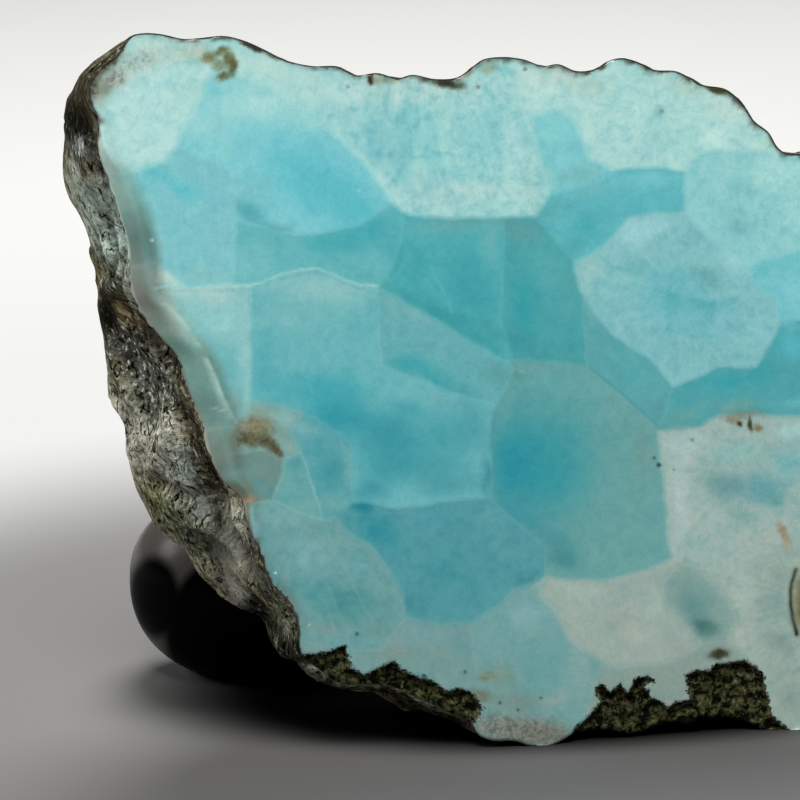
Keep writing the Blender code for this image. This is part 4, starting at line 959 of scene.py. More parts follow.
def slab_walls(bearing):
    """The stone's lines at each bearing, and radius and depth of each ring from the face to the back."""
    face, shoulder, girth = slab_lines()
    face_radius, _ = face.at(bearing)
    shoulder_radius, shoulder_depth = shoulder.at(bearing)
    girth_radius, girth_depth = girth.at(bearing)
    girth_depth = np.maximum(girth_depth, shoulder_depth + LEAST_FLARE_DEPTH)
    around = [girth.at(bearing + step * BACK_SMOOTHING)[0] for step in range(-2, 3)]
    back_radius = np.mean(around, axis=0) - BACK_TAPER
    back_depth = THICKNESS - BACK_BEVEL
    profile = []
    for share in ring_shares(EDGE_RINGS, 0):
        radius = face_radius + (shoulder_radius - face_radius) * share**EDGE_ROUND_OUT
        profile.append((radius, shoulder_depth * share**EDGE_ROUND_IN))
    for share in ring_shares(FLARE_RINGS):
        radius = shoulder_radius + (girth_radius - shoulder_radius) * math.sin(share * math.pi / 2)
        profile.append((radius, shoulder_depth + (girth_depth - shoulder_depth) * share))
    for share in ring_shares(BACK_RINGS):
        radius = back_radius + (girth_radius - back_radius) * math.cos(share * math.pi / 2)
        profile.append((radius, girth_depth + (back_depth - girth_depth) * share))
    profile.append((back_radius - BACK_BEVEL, np.full(len(bearing), THICKNESS)))
    return Walls(face_radius, shoulder_depth, girth_radius, girth_depth, profile)


def slab_rings(bearing, length):
    """Rings of points from the edge of the face to the edge of the back."""
    walls = slab_walls(bearing)
    flare = walls.girth_radius - walls.face_radius
    roughness = np.clip(flare / FULL_ROUGHNESS_FLARE, BARE_ROUGHNESS, 1.0)
    around_rim = np.arange(len(bearing)) * math.tau / len(bearing)
    rim_circle = np.column_stack([np.cos(around_rim), np.sin(around_rim)]) * length / math.tau
    outward = np.column_stack([np.cos(bearing), np.sin(bearing)])
    close = close_rind(bearing)
    rind_start = walls.shoulder_depth * (1.0 - CLOSE_REACH * close)
    travelled = np.zeros(len(bearing))
    before = walls.profile[0]
    rings = []
    for radius, depth in walls.profile:
        travelled = travelled + np.hypot(radius - before[0], depth - before[1])
        before = (radius, depth)
        rim = np.column_stack([rim_circle, travelled])
        started = np.clip((depth - walls.shoulder_depth) / RELIEF_START, 0.0, 1.0)
        ended = np.clip((THICKNESS - depth) / BACK_BEVEL, 0.0, 1.0)
        kept = 1.0 - GIRTH_CALM * np.exp(-(((depth - walls.girth_depth) / GIRTH_CALM_WIDTH) ** 2))
        relief = rind_relief(bearing, walls.girth_radius, depth) * roughness * kept
        flat = STONE_CENTRE + outward * radius[:, None]
        relief = relief + np.where(np.cos(bearing) < 0.0, rind_forms(stone_to_seen(flat, depth)), 0.0)
        fine = fine_relief(rim)
        radius = radius + (np.minimum(relief, FORM_CEILING) + fine * ended) * started
        flat = STONE_CENTRE + outward * radius[:, None]
        flat[:, 1] += underside_lift(flat, depth, walls.girth_depth, bearing)
        sink = pocket_depth(stone_to_seen(flat, depth)) * np.clip(1.0 - depth / POCKET_REACH, 0.0, 1.0)
        ragged = ragged_line(rim)
        rind = smooth((depth - rind_start) / RIND_FADE + 0.5 + ragged * RIND_RAGGED)
        rind *= np.maximum(CLOSE_STRENGTH * close, depth > 0.0)
        rings.append(Ring(flat, depth + sink, rim, rind, fine + SHADED_RELIEF * relief))
    return rings


def along_top(bearing):
    """1 along the top of the stone and 0 elsewhere."""
    return smooth((np.sin(bearing) - TOP_START) * 12.0)


def on_left(bearing):
    """1 on the left wall of the stone, where its rind is seen, and 0 on the right."""
    return smooth((-np.cos(bearing) - 0.05) * 6.0)


def close_rind(bearing):
    """1 where the rind comes up to the face with no ground edge: along the top and at the lower left."""
    low = smooth((-np.sin(bearing) - LOW_START) * 6.0) * smooth((-np.cos(bearing) - 0.2) * 5.0)
    return np.maximum(along_top(bearing), low)


def pattern_shift(depth):
    """How far the pattern of the cells is carried sideways at a depth behind the face."""
    return (1.0 - in_front(depth))[:, None] * BACK_SHIFT


def in_front(depth):
    """1 near the polished face, where all its marks are, and 0 towards the back."""
    return 1.0 - smooth((depth - FRONT_DEPTH) / FRONT_FADE)


def wandering(seen, size, layer):
    """Smooth shifts of points of the view, in two sizes, about -1 to 1 each way."""
    return np.column_stack([
        flat_noise(seen, size, start) + 0.4 * flat_noise(seen, size * 0.35, start + 1.0)
        for start in (layer, layer + 4.0)
    ])


def nearest_cells(bent):
    """For points of the face: the cell each is in, the next nearest, and the way to their border."""
    distance = np.stack([polygon_distance(bent, one.outline) for one in CELLS])
    order = np.argsort(-distance, axis=0)
    index = np.arange(len(bent))
    border = (distance[order[0], index] - distance[order[1], index]) / 2
    return order[0], order[1], border


def cell_colours(bent, which):
    """The inner colour of each point's cell: its base colour, and its tones over it."""
    colours = np.zeros((len(bent), 3))
    for number, one in enumerate(CELLS):
        chosen = which == number
        inner = np.tile(np.array(one.base, dtype=float), (chosen.sum(), 1))
        for *place, colour in one.tones:
            inner = blend(inner, np.array(colour), spot(bent[chosen], *place, power=TONE_POWER))
        colours[chosen] = inner
    return colours


def blend(first, second, share):
    """Mixes rows of colours by a share for each row."""
    return first + (second - first) * np.clip(share, 0.0, 1.0)[:, None]


def fibre_places(seen, which):
    """Places along the fibres that fan out in each cell, and how strong they are."""
    places = np.zeros((len(seen), 3))
    strength = np.zeros(len(seen))
    for number, one in enumerate(CELLS):
        chosen = which == number
        offset = seen[chosen] - one.fan
        reach = np.linalg.norm(offset, axis=1) + 0.01
        places[chosen, :2] = offset / reach[:, None] * FIBRES_AROUND
        places[chosen, 2] = reach * FIBRE_CHANGE + number * 3.0
        strength[chosen] = one.fibre
    return places, strength


def paint_face(seen, near_edge, depth):
    """Colour of the face and its ground edge at points of the view, with their fibres and grit."""
    front = in_front(depth)
    shifted = seen + pattern_shift(depth)
    bent = shifted + wandering(shifted, WARP_SIZE, 1.0) * WARP
    first, second, border = nearest_cells(bent)
    blur = np.array([one.blur for one in CELLS])
    share = 0.5 + 0.5 * smooth(border / np.maximum(blur[first], blur[second]))
    toned = shifted + wandering(shifted, TONE_WARP_SIZE, 11.0) * TONE_WARP
    colours = blend(cell_colours(toned, second), cell_colours(toned, first), share)
    colours = blend(colours, edge_colours(seen), near_edge)
    uneven = 0.85 + 0.6 * flat_noise(seen, WALL_PATCH_SIZE, 21.0)
    wall = WALL_STRENGTH * np.exp(-((border / WALL_WIDTH) ** 2)) * uneven
    colours = blend(colours, np.array(WALL_COLOUR), wall)
    for points, half_width, colour, strength in LINES:
        near = np.exp(-((line_distance(bent, points) / half_width) ** 2))
        colours = blend(colours, np.array(colour), near * strength * uneven * front)
    grit = np.zeros(len(seen))
    ragged = seen + wandering(seen, STAIN_WARP_SIZE, 31.0) * STAIN_WARP
    rim = np.exp(-((line_distance(ragged, TOP_EDGE) / RIM_WIDTH) ** 2)) * front
    rim *= smooth(0.75 + 1.2 * flat_noise(seen, RIM_PATCH_SIZE, 61.0))
    colours = blend(colours, np.array(RIM_COLOUR), rim)
    for *place, colour, strength, gritty in STAINS:
        near = spot(ragged, *place, power=STAIN_POWER) * strength * front
        colours = blend(colours, np.array(colour), near)
        grit = np.maximum(grit, near * gritty)
    for right, up, radius, colour in SPECKS:
        near = np.linalg.norm(seen - np.array([right, up]), axis=1)
        colours = blend(colours, np.array(colour), smooth(1.5 - near / radius) * front)
    places, strength = fibre_places(seen, first)
    return colours, places, strength * smooth(border / FIBRE_FADE), grit


def face_light(seen, depth):
    """The share of white that a white face would show at points of the view, and more at the back."""
    light = FACE_LIGHT + FACE_LIGHT_UP * seen[:, 1] + FACE_LIGHT_RIGHT * seen[:, 0]
    light *= 1.0 + BACK_DIM * (1.0 - in_front(depth))
    return light[:, None]


def paint_rind(seen, rim, left, top):
    """Colour of the rind, and how much it sparkles."""
    tone = rough(*(rim / RIND_TONE_SIZE + 31.0).T)
    green = rough(*(rim / RIND_GREEN_SIZE + 57.0).T)
    colours = np.tile(np.array(RIND_BROWN, dtype=float), (len(rim), 1))
    colours = blend(colours, np.array(RIND_GREY), smooth(tone * 1.6 + 0.45))
    colours = blend(colours, np.array(RIND_OLIVE), smooth(green * 1.5) * 0.6)
    sparkle = np.full(len(rim), RIND_SPARKLE)
    ragged = seen + wandering(seen, STAIN_WARP_SIZE, 41.0) * STAIN_WARP
    for *place, colour, strength, sparkling in RIND_TONES:
        near = spot(ragged, *place, power=RIND_POWER) * strength * left
        colours = blend(colours, np.array(colour), near)
        sparkle = sparkle + (sparkling - sparkle) * near
    colours = blend(colours, np.array(RIM_COLOUR), top * TOP_DARK)
    return colours, sparkle


def edge_colours(seen):
    """Colour of the ground edge beside the left rind, by height in the view."""
    heights = [height for height, _ in EDGE_COLOURS]
    colours = np.array([colour for _, colour in EDGE_COLOURS], dtype=float)
    up = seen[:, 1] + EDGE_WANDER * flat_noise(seen, EDGE_WANDER_SIZE, 51.0)
    return np.column_stack([np.interp(up, heights, channel) for channel in colours.T])


def sharpness(flat, depth):
    """Distance to the nearest thing that needs a fine mesh: a border, a line, a mark, a pocket."""
    depths = np.full(len(flat), depth)
    seen = stone_to_seen(flat, depths) + pattern_shift(depths)
    bent = seen + wandering(seen, WARP_SIZE, 1.0) * WARP
    _, _, nearest = nearest_cells(bent)
    for points, _, _, _ in LINES:
        nearest = np.minimum(nearest, line_distance(bent, points))
    nearest = np.minimum(nearest, line_distance(seen, TOP_EDGE))
    for right, up, half_length, *_ in STAINS:
        away = np.linalg.norm(seen - np.array([right, up]), axis=1)
        nearest = np.minimum(nearest, away - half_length)
    for right, up, _, _ in SPECKS:
        nearest = np.minimum(nearest, np.linalg.norm(seen - np.array([right, up]), axis=1))
    return np.minimum(nearest, -pocket_distance(seen))


def inner_points(outline, depth, grid, sharp_reach):
    """A grid of points inside an outline, three times as fine where the pattern is sharp."""
    low = outline.min(axis=0)
    high = outline.max(axis=0)
    x, y = np.meshgrid(np.arange(low[0], high[0], grid), np.arange(low[1], high[1], grid))
    coarse = np.column_stack([x.ravel(), y.ravel()])
    inside = polygon_distance(coarse, outline)
    coarse = coarse[inside > -grid]
    near = sharpness(coarse, depth) < sharp_reach + grid
    steps = [(i, j) for i in (-1, 0, 1) for j in (-1, 0, 1) if i or j]
    fine = (coarse[near][:, None] + np.array(steps) * grid / 3).reshape(-1, 2)
    fine = fine[sharpness(fine, depth) < sharp_reach]
    points = np.vstack([coarse, fine])
    shake = np.random.default_rng(4).uniform(-GRID_SHAKE, GRID_SHAKE, points.shape) * grid
    points = points + shake
    return points[polygon_distance(points, outline) > grid * INNER_MARGIN]


def fill_outline(outline, inner):
    """Triangles that fill a closed outline, using the inner points, as indices into both."""
    points = [Vector(p) for p in np.vstack([outline, inner])]
    loop = list(range(len(outline)))
    result = geometry.delaunay_2d_cdt(points, [], [loop], 1, 1e-7)
    kept = np.array([origins[0] for origins in result[3]])
    triangles = kept[np.array(result[2])]
    corners = np.vstack([outline, inner])[triangles]
    edges = corners[:, 1:] - corners[:, :1]
    turned = edges[:, 0, 0] * edges[:, 1, 1] < edges[:, 0, 1] * edges[:, 1, 0]
    triangles[turned] = triangles[turned][:, ::-1]
    return triangles


def in_cad_box(places):
    """Places in mm, kept inside the box of the solids."""
    return np.clip(places, np.array(CAD_BOX[0]) / MM, np.array(CAD_BOX[1]) / MM)


def new_piece(name, places, faces, material, node):
    """Makes a visible piece from places in millimetres, in place of a CAD node."""
    mesh = bpy.data.meshes.new(name)
    mesh.from_pydata((in_cad_box(places) * MM).tolist(), [], faces)
    mesh.materials.append(material)
    mesh.shade_smooth()
    mesh.validate()
    piece = bpy.data.objects.new(name, mesh)
    bpy.context.scene.collection.objects.link(piece)
    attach(piece, "root")
    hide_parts(node)
    return piece


def add_values(piece, **values):
    """Stores three values for each vertex under each name, for the material to read."""
    for name, rows in values.items():
        attribute = piece.data.attributes.new(name, "FLOAT_VECTOR", "POINT")
        attribute.data.foreach_set("vector", np.ascontiguousarray(rows, dtype=np.float32).ravel())


class Nodes:
    """Builds a material's nodes. Each call adds a node or a few, and returns the last one's output."""

    def __init__(self, name):
        self.material = bpy.data.materials.new(name)
        self.material.use_nodes = True
        self.tree = self.material.node_tree
        self.shader = self.tree.nodes["Principled BSDF"]

    def feed(self, socket, value):
        if isinstance(value, bpy.types.NodeSocket):
            self.tree.links.new(value, socket)
        else:
            socket.default_value = value

    def add(self, kind, inputs, output=0, **settings):
        node = self.tree.nodes.new(kind)
        for name, value in settings.items():
            setattr(node, name, value)
        for name, value in inputs.items():
            self.feed(node.inputs[name], value)
        return node.outputs[output]

    def maths(self, operation, first, second=0.0):
        return self.add("ShaderNodeMath", {0: first, 1: second}, operation=operation)

    def total(self, first, *others):
        for value in others:
            first = self.maths("ADD", first, value)
        return first

    def product(self, first, *others):
        for value in others:
            first = self.maths("MULTIPLY", first, value)
        return first

    def centred(self, value, *amounts):
        """How far a noise is above its middle value, times some amounts."""
        return self.product(self.total(value, -0.5), *amounts)

    def apart(self, value):
        """How far a noise is from its middle value, either way."""
        return self.maths("ABSOLUTE", self.centred(value))

    def oval(self, x, y, middle, half):
        """Squared distance from the middle of an oval: 1 on the line of its half sizes."""
        x = self.maths("DIVIDE", self.total(x, -middle[0]), half[0])
        y = self.maths("DIVIDE", self.total(y, -middle[1]), half[1])
        return self.total(self.product(x, x), self.product(y, y))

    def mix(self, share, first, second, how="MIX"):
        return self.add(
            "ShaderNodeMix", {0: share, 6: first, 7: second}, 2, data_type="RGBA", blend_type=how
        )

    def between(self, value, low, high, start=0.0, end=1.0):
        """The value's share of the way from low to high, with soft ends, on another scale."""
        return self.add(
            "ShaderNodeMapRange",
            {"Value": value, "From Min": low, "From Max": high, "To Min": start, "To Max": end},
            interpolation_type="SMOOTHSTEP",
        )

    def noise(self, place, scale, detail=2.0, roughness=0.5, distortion=0.0):
        return self.add(
            "ShaderNodeTexNoise",
            {
                "Vector": place, "Scale": scale, "Detail": detail, "Roughness": roughness,
                "Distortion": distortion,
            },
        )

    def stored(self, name):
        """The three values that each vertex holds under a name."""
        return self.add("ShaderNodeAttribute", {}, "Vector", attribute_name=name)

    def parts(self, vector):
        node = self.tree.nodes.new("ShaderNodeSeparateXYZ")
        self.tree.links.new(vector, node.inputs[0])
        return node.outputs[0], node.outputs[1], node.outputs[2]

    def scaled(self, vector, x, y, z):
        return self.add("ShaderNodeVectorMath", {0: vector, 1: (x, y, z)}, operation="MULTIPLY")

    def along(self, place, way):
        """How far a place lies along a direction."""
        inputs = {0: place, 1: tuple(way)}
        return self.add("ShaderNodeVectorMath", inputs, "Value", operation="DOT_PRODUCT")

    def place_mm(self):
        """The place on the piece in millimetres."""
        coordinates = self.add("ShaderNodeTexCoord", {}, "Object")
        return self.scaled(coordinates, 1 / MM, 1 / MM, 1 / MM)

    def bump(self, height, depth_mm):
        return self.add("ShaderNodeBump", {"Height": height, "Distance": depth_mm * MM})

    def finish(self, **inputs):
        for name, value in inputs.items():
            self.feed(self.shader.inputs[name.replace("_", " ")], value)
        return self.material


def colour(*values):
    """A colour for a node's socket."""
    return (*linear(values), 1.0)


def face_looks(nodes, place, painted, fibre, fine):
    """The painted face, made uneven by blotches, threads, fibres and flecks that shift its blue."""
    streaks = nodes.noise(nodes.stored("fibres"), 1.6, 4.0, 0.6)
    swirl = nodes.noise(place, 0.9, 5.0, 0.62, 1.6)
    flecks = nodes.between(nodes.noise(place, 0.9, 3.0, 0.55, 0.3), 0.42, 0.72, 0.0, -0.2)
    level = nodes.total(
        nodes.product(nodes.noise(place, 0.6, 4.0, 0.6, 0.8), 0.26),
        0.862,
        nodes.centred(fine, 0.05),
        nodes.centred(streaks, fibre, 0.6),
        nodes.between(nodes.apart(swirl), 0.0, 0.07, 0.055, 0.0),
        nodes.product(flecks, nodes.total(fibre, 0.15)),
    )
    red = nodes.maths("POWER", level, 2.4)
    blue = nodes.maths("POWER", level, 0.65)
    tint = nodes.add("ShaderNodeCombineXYZ", {0: red, 1: level, 2: blue})
    return nodes.mix(1.0, painted, tint, "MULTIPLY")


def matrix_looks(nodes, place, grain):
    """Rough matrix: olive and buff clumps on black, with pale specks."""
    clumps = nodes.noise(place, 1.3, 4.0, 0.65, 0.5)
    specks = nodes.add("ShaderNodeTexVoronoi", {"Vector": place, "Scale": 2.6}, "Distance")
    matrix = nodes.mix(nodes.between(clumps, 0.41, 0.62), colour(14, 16, 9), colour(84, 86, 56))
    matrix = nodes.mix(nodes.between(clumps, 0.6, 0.72, 0.0, 0.7), matrix, colour(150, 146, 110))
    matrix = nodes.mix(nodes.between(grain, 0.48, 0.34, 0.0, 0.8), matrix, colour(10, 11, 6))
    return nodes.mix(nodes.between(specks, 0.09, 0.05), matrix, colour(176, 178, 162))


def bark_looks(nodes, rim, grains, painted, sparkle, crest):
    """The rind, streaked along the rim, with dark cracks, pits, painted glints, painted shade in the
    hollows of its relief, and its height.
    """
    rugged = nodes.between(sparkle, 0.0, 0.3, 0.3, 1.0)
    streak = nodes.noise(nodes.scaled(rim, 0.3, 0.3, 1.0), 1.1, 2.0, 0.5)
    wave = nodes.noise(nodes.scaled(rim, 0.3, 0.3, 1.1), 1.2, 2.0, 0.55)
    seams = nodes.product(
        nodes.between(nodes.apart(wave), 0.006, 0.026, 1.0, 0.0),
        nodes.between(nodes.noise(rim, 0.6, 2.0), 0.44, 0.54),
        rugged,
    )
    # The last factor is painted shade: darker where the relief sinks into cracks and hollows.
    ribbed = nodes.product(
        nodes.between(streak, 0.34, 0.66, 0.7, 1.3),
        nodes.between(grains, 0.3, 0.7, 0.6, 1.4),
        nodes.between(crest, -0.5, -0.1, 0.5, 1.05),
    )
    # Painted glints: pale specks on the high grains, as strong as the sparkle.
    sparkles = nodes.product(nodes.between(grains, 0.57, 0.66), sparkle)
    pits = nodes.product(nodes.between(grains, 0.46, 0.36), nodes.total(sparkle, 0.25))
    bark = nodes.mix(rugged, painted, nodes.mix(1.0, painted, ribbed, "MULTIPLY"))
    bark = nodes.mix(sparkles, bark, colour(186, 188, 174))
    bark = nodes.mix(pits, bark, colour(18, 16, 9))
    bark = nodes.mix(seams, bark, colour(10, 9, 5))
    height = nodes.total(nodes.product(streak, 0.6), grains, nodes.product(seams, -1.0))
    return bark, nodes.product(height, rugged)


def stone_material():
    """Polished larimar, rough matrix and rind in one material, told apart by stored values."""
    nodes = Nodes("larimar_stone")
    place = nodes.place_mm()
    painted = nodes.stored("painted")
    rim = nodes.stored("rim")
    rind, pocket, grit = nodes.parts(nodes.stored("kinds"))
    fibre, sparkle, crest = nodes.parts(nodes.stored("strengths"))
    fine = nodes.noise(place, 5.5, 3.0, 0.6)
    grain = nodes.noise(place, 2.4, 4.0, 0.7)
    grains = nodes.noise(nodes.scaled(rim, 0.6, 0.6, 1.3), 2.1, 3.0, 0.62)
    in_pocket = nodes.between(nodes.total(pocket, nodes.centred(grain, 1.6)), -0.1, 0.12)
    in_rind = nodes.between(nodes.total(rind, nodes.centred(grains, 0.8)), 0.35, 0.65)
    rough_part = nodes.maths("MAXIMUM", in_rind, in_pocket)

    face = face_looks(nodes, place, painted, fibre, fine)
    face = nodes.mix(in_pocket, face, matrix_looks(nodes, place, grain))
    stained = nodes.product(grit, nodes.between(grain, 0.6, 0.35))
    face = nodes.mix(stained, face, colour(40, 36, 20))
    bark, bark_height = bark_looks(nodes, rim, grains, painted, sparkle, crest)
    height = nodes.product(nodes.total(bark_height, nodes.product(grain, 0.6)), rough_part)
    return nodes.finish(
        Base_Color=nodes.mix(in_rind, face, bark),
        Roughness=nodes.between(rough_part, 0.0, 1.0, 0.3, 0.65),
        Specular_IOR_Level=nodes.between(rough_part, 0.0, 1.0, 0.5, 0.0),
        Normal=nodes.bump(nodes.total(height, nodes.product(fine, 0.02)), 0.55),
    )


def ring_faces(ring_count, columns):
    """Four-cornered faces between closed rings of points that follow one another."""
    faces = []
    for start in range(0, (ring_count - 1) * columns, columns):
        below = start + columns
        for column in range(columns):
            beside = (column + 1) % columns
            faces.append((start + column, below + column, below + beside, start + beside))
    return faces


def slab_mesh(rings):
    """All points of the stone and their depths, its faces, and the number of the back's first point."""
    first = rings[0].flat
    last = rings[-1].flat
    face_inner = inner_points(first, 0.0, FACE_GRID, FACE_SHARP)
    back_inner = inner_points(last, THICKNESS, BACK_GRID, BACK_SHARP)
    face_seen = stone_to_seen(face_inner, np.zeros(len(face_inner)))
    flat = np.vstack([ring.flat for ring in rings] + [face_inner, back_inner])
    depth = np.concatenate(
        [ring.depth for ring in rings]
        + [pocket_depth(face_seen), np.full(len(back_inner), THICKNESS)]
    )
    wall_count = COLUMNS * len(rings)
    last_ring = wall_count - COLUMNS
    back_start = wall_count + len(face_inner)
    faces = ring_faces(len(rings), COLUMNS)
    for triangle in fill_outline(first, face_inner).tolist():
        faces.append([i if i < COLUMNS else i - COLUMNS + wall_count for i in triangle])
    for triangle in fill_outline(last, back_inner).tolist():
        turned = triangle[::-1]
        faces.append([last_ring + i if i < COLUMNS else i - COLUMNS + back_start for i in turned])
    return flat, depth, faces, back_start


def edge_shares(seen, left):
    """How much of the ground edge's colour each point shows, over the face and on the left wall."""
    firm = np.interp(seen[:, 1], *np.array(EDGE_SHARES).T)
    shares = firm * smooth(1.0 - line_distance(seen, LEFT_FACE) / EDGE_FADE)
    wall = slice(0, len(left))
    outward = smooth(np.arange(len(left)) // COLUMNS * 2.0 / EDGE_RINGS)
    on_wall = left * (firm[wall] + (1.0 - firm[wall]) * outward)
    shares[wall] = np.maximum(shares[wall], on_wall)
    return shares


def with_zeros(rows, count):
    """The values of the wall's points, followed by zeros for all the others."""
    return np.concatenate([rows, np.zeros((count - len(rows), *rows.shape[1:]))])


def make_slab():
    """The stone: polished face, ground edge, rough rind, matrix pockets and sawn back."""
    bearing, length = column_bearings(slab_lines()[2], COLUMNS)
    rings = slab_rings(bearing, length)
    flat, depth, faces, back_start = slab_mesh(rings)
    places = stone_to_world(flat, depth)
    places[:, 2] = np.maximum(places[:, 2], 0.0)

    seen = stone_to_seen(flat, depth)
    around = np.tile(bearing, len(rings))
    wall = slice(0, len(around))
    left = on_left(around)
    rim = np.vstack([ring.rim for ring in rings])
    rind = np.concatenate([ring.rind for ring in rings])
    # The relief, which the material turns into painted shade in its hollows.
    crest = np.concatenate([ring.relief for ring in rings])
    near_edge = edge_shares(seen, left) * in_front(depth)
    painted, fibres, fibre_strength, grit = paint_face(seen, near_edge, depth)
    # Dividing by the light paints the face lighter towards the bottom and the back darker.
    painted = np.maximum(linear(painted) - FACE_VEIL, FACE_DARKEST) / face_light(seen, depth)
    bark, sparkle = paint_rind(seen[wall], rim, left, along_top(around) ** 3)
    on_rind = rind[:, None] > LEAST_RIND
    # Painted light: the rind's colours are made lighter by the share of light it gets.
    painted[wall] = np.where(on_rind, linear(bark) / RIND_LIGHT, painted[wall])
    pocket = pocket_distance(seen)
    pocket[wall] = np.where(depth[wall] < POCKET_PAINT_REACH, pocket[wall], NO_POCKET)
    pocket[back_start:] = NO_POCKET

    slab = new_piece("larimar_slab_stone", places, faces, stone_material(), "larimar_slab")
    count = len(flat)
    add_values(
        slab,
        painted=painted,
        fibres=fibres,
        rim=with_zeros(rim, count),
        kinds=np.column_stack([with_zeros(rind, count), pocket, grit]),
        strengths=np.column_stack(
            [fibre_strength, with_zeros(sparkle, count), with_zeros(crest, count)]
        ),
    )


def slab_back_y(height):
    """The y of the slab's flat back at a height above the floor."""
    along = (height - FACE_MIDDLE[2] - THICKNESS * INWARD[2]) / ALONG[2]
    return FACE_MIDDLE[1] + along * ALONG[1] + THICKNESS * INWARD[1]


def rest_material():
    """Glossy black stone with a painted grey sheen, a painted reflection, all round its darkest parts."""
    nodes = Nodes("rest_black")
    place = nodes.place_mm()
    marks = nodes.noise(nodes.scaled(place, 1.0, 1.0, 3.0), 1.2, 3.0, 0.6)
    across = nodes.along(place, VIEW_RIGHT)
    up = nodes.along(place, VIEW_UP)
    # Painted reflection: grey everywhere but in the ovals, placed along the view's right and up, with the
    # specular level kept low.
    painted_sheen = 1.0
    for right, high, half_width, half_height, fade in REST_WITHOUT_SHEEN:
        middle = (right + REST_MIDDLE @ VIEW_RIGHT, high + REST_MIDDLE @ VIEW_UP)
        reach = nodes.oval(across, up, middle, (half_width, half_height))
        painted_sheen = nodes.product(painted_sheen, nodes.between(reach, 1.0 - fade, 1.0 + fade))
    return nodes.finish(
        Base_Color=nodes.mix(painted_sheen, colour(1, 1, 1), colour(62, 60, 56)),
        Roughness=nodes.between(marks, 0.3, 0.7, 0.26, 0.36),
        Specular_IOR_Level=nodes.between(painted_sheen, 0.0, 1.0, 0.02, 0.08),
        Normal=nodes.bump(nodes.noise(place, 0.25, 2.0), 0.02),
    )


def make_rest():
    """A smooth black pebble with a flat foot, just clear of the back of the slab."""
    places = []
    for row in range(1, REST_ROWS):
        polar = math.pi * row / REST_ROWS
        ring = math.sin(polar) ** REST_FULLNESS
        height = math.copysign(abs(math.cos(polar)) ** REST_FULLNESS, math.cos(polar))
        for column in range(REST_COLUMNS):
            turn = math.tau * column / REST_COLUMNS
            places.append((math.cos(turn) * ring, math.sin(turn) * ring, height))
    places = np.array(places + [(0.0, 0.0, 1.0), (0.0, 0.0, -1.0)]) * REST_HALF
    lumps = rough(*(places / REST_LUMP_SIZE).T)
    places = places * (1.0 + lumps[:, None] * REST_LUMP / REST_HALF)
    cosine = math.cos(REST_TURN)
    sine = math.sin(REST_TURN)
    places = places @ np.array([[cosine, sine, 0.0], [-sine, cosine, 0.0], [0.0, 0.0, 1.0]])
    places += REST_MIDDLE
    places[:, 2] = np.maximum(places[:, 2], 0.0)
    places[:, 1] = np.maximum(places[:, 1], slab_back_y(places[:, 2]) + GAP)

    rows = REST_ROWS - 1
    top = rows * REST_COLUMNS
    bottom = top + 1
    last_row = top - REST_COLUMNS
    faces = ring_faces(rows, REST_COLUMNS)
    for column in range(REST_COLUMNS):
        beside = (column + 1) % REST_COLUMNS
        faces.append((top, column, beside))
        faces.append((bottom, last_row + beside, last_row + column))
    new_piece("black_display_rest", places, faces, rest_material(), "display_rest")


# The stage, mm
FLOOR_SIZE = 6000.0
FLOOR_MIDDLE = (-10.0, 0.0)
# Painted shade on the floor: grey round the object out to the first of these radii, fading to pale by the
# second, then painted a little paler, as painted light, out to the third. The three after them place a
# painted shadow, near black, in a slanted oval under the object.
FLOOR_FULL_SHADE_RADIUS = 58.5
FLOOR_PALE_RADIUS = 113.0
FLOOR_FAR_RADIUS = 260.0
PAINTED_SHADOW_MIDDLE = (5.0, -3.0)
PAINTED_SHADOW_HALF = (49.0, 20.5)
PAINTED_SHADOW_SLANT = -0.07
WORLD_LIGHT = 0.02
SENSOR_WIDTH = 36.0
# Each light's name, place, target and size in mm, and power in watts
LIGHTS = [
    ("overhead_behind", (95.0, 340.0, 560.0), (10.0, 0.0, 20.0), 420.0, 7.5),
    ("overhead_front", (-120.0, -260.0, 640.0), (0.0, 0.0, 30.0), 300.0, 6.0),
    ("side_left", (-560.0, 40.0, 360.0), (-30.0, 0.0, 25.0), 260.0, 3.4),
]


def floor_material():
    """Pale, with painted shade that makes it greyer round the object, painted light that makes it a little
    paler far out, and a painted shadow near black right under it.
    """
    nodes = Nodes("floor")
    x, y, _ = nodes.parts(nodes.place_mm())
    radius = nodes.maths("SQRT", nodes.oval(x, y, FLOOR_MIDDLE, (1.0, 1.0)))
    far = nodes.between(radius, FLOOR_PALE_RADIUS, FLOOR_FAR_RADIUS)
    pale = nodes.mix(far, colour(145, 145, 144), colour(156, 156, 154))
    # Painted shade: grey round the object, pale farther out.
    away = nodes.between(radius, FLOOR_FULL_SHADE_RADIUS, FLOOR_PALE_RADIUS)
    ground = nodes.mix(away, colour(74, 73, 72), pale)
    # Painted shadow: a slanted oval, near black and without gloss, under the object.
    left = nodes.maths("MINIMUM", nodes.total(x, -FLOOR_MIDDLE[0]), 0.0)
    slanted = nodes.total(y, nodes.product(left, -PAINTED_SHADOW_SLANT))
    painted_shadow = nodes.between(nodes.oval(x, slanted, PAINTED_SHADOW_MIDDLE, PAINTED_SHADOW_HALF), 1.15, 0.45)
    return nodes.finish(
        Base_Color=nodes.mix(painted_shadow, ground, colour(3, 3, 3)),
        Roughness=0.7,
        Specular_IOR_Level=nodes.between(painted_shadow, 0.0, 1.0, 0.5, 0.0),
    )


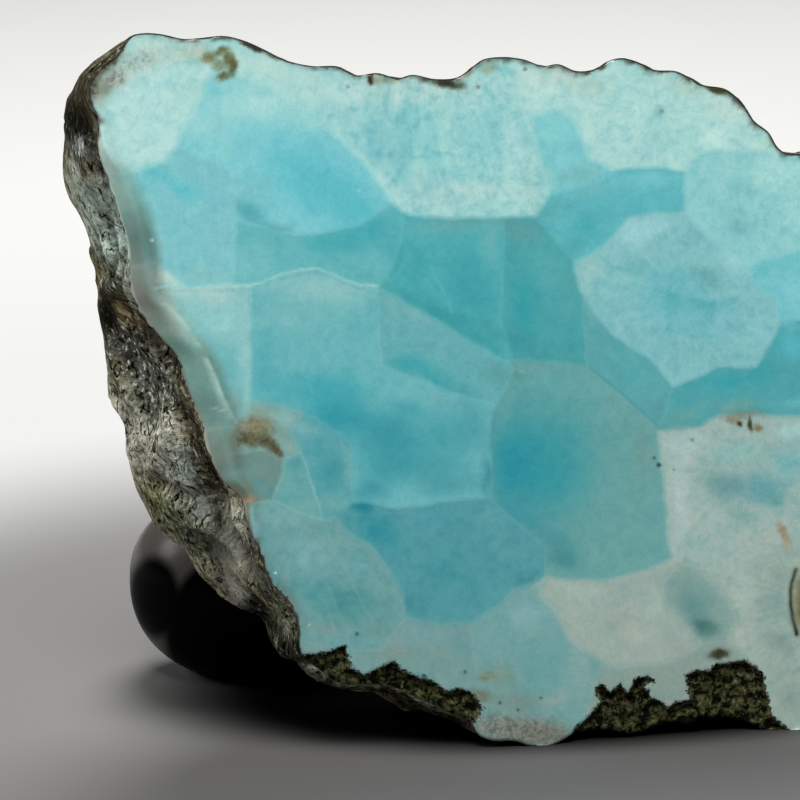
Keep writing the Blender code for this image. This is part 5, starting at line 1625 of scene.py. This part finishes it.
def make_floor():
    """A floor, one flat square, with painted shade and a painted shadow in its material."""
    half = FLOOR_SIZE / 2 * MM
    mesh = bpy.data.meshes.new("floor")
    corners = [(-half, -half, 0.0), (half, -half, 0.0), (half, half, 0.0), (-half, half, 0.0)]
    mesh.from_pydata(corners, [], [(0, 1, 2, 3)])
    mesh.materials.append(floor_material())
    floor = bpy.data.objects.new("floor", mesh)
    bpy.context.scene.collection.objects.link(floor)


def aim(thing, place, target):
    """Puts a thing at a place, looking at a target, both in millimetres."""
    here = Vector(place) * MM
    way = Vector(target) * MM - here
    thing.location = here
    thing.rotation_mode = "QUATERNION"
    thing.rotation_quaternion = way.to_track_quat("-Z", "Y")


def soft_light(name, place, target, size, power):
    """A round lamp of a size in millimetres that the camera doesn't see."""
    lamp = bpy.data.lights.new(name, "AREA")
    lamp.shape = "DISK"
    lamp.size = size * MM
    lamp.energy = power
    made = bpy.data.objects.new(name, lamp)
    made.visible_camera = False
    bpy.context.scene.collection.objects.link(made)
    aim(made, place, target)


def make_camera():
    """A camera where the photo was taken from, with the middle of the view at the middle of its frame."""
    data = bpy.data.cameras.new("camera")
    data.sensor_width = SENSOR_WIDTH
    data.lens = SENSOR_WIDTH * VIEW_DISTANCE / VIEW_WIDTH
    camera = bpy.data.objects.new("camera", data)
    bpy.context.scene.collection.objects.link(camera)
    axes = Matrix([VIEW_RIGHT, VIEW_UP, VIEW_BACK]).transposed()
    place = (FACE_MIDDLE + VIEW_BACK * VIEW_DISTANCE) * MM
    camera.matrix_world = Matrix.Translation(place) @ axes.to_4x4()
    bpy.context.scene.camera = camera


def make_stage():
    """Floor, soft light from above and behind, a weak fill from the front, and the camera."""
    make_floor()
    for name, place, target, size, power in LIGHTS:
        soft_light(name, place, target, size, power)
    world = bpy.data.worlds.new("studio")
    world.use_nodes = True
    background = world.node_tree.nodes["Background"]
    background.inputs["Color"].default_value = (1.0, 1.0, 1.0, 1.0)
    background.inputs["Strength"].default_value = WORLD_LIGHT
    bpy.context.scene.world = world
    bpy.context.scene.view_settings.view_transform = "Standard"
    make_camera()


make_slab()
make_rest()
make_stage()
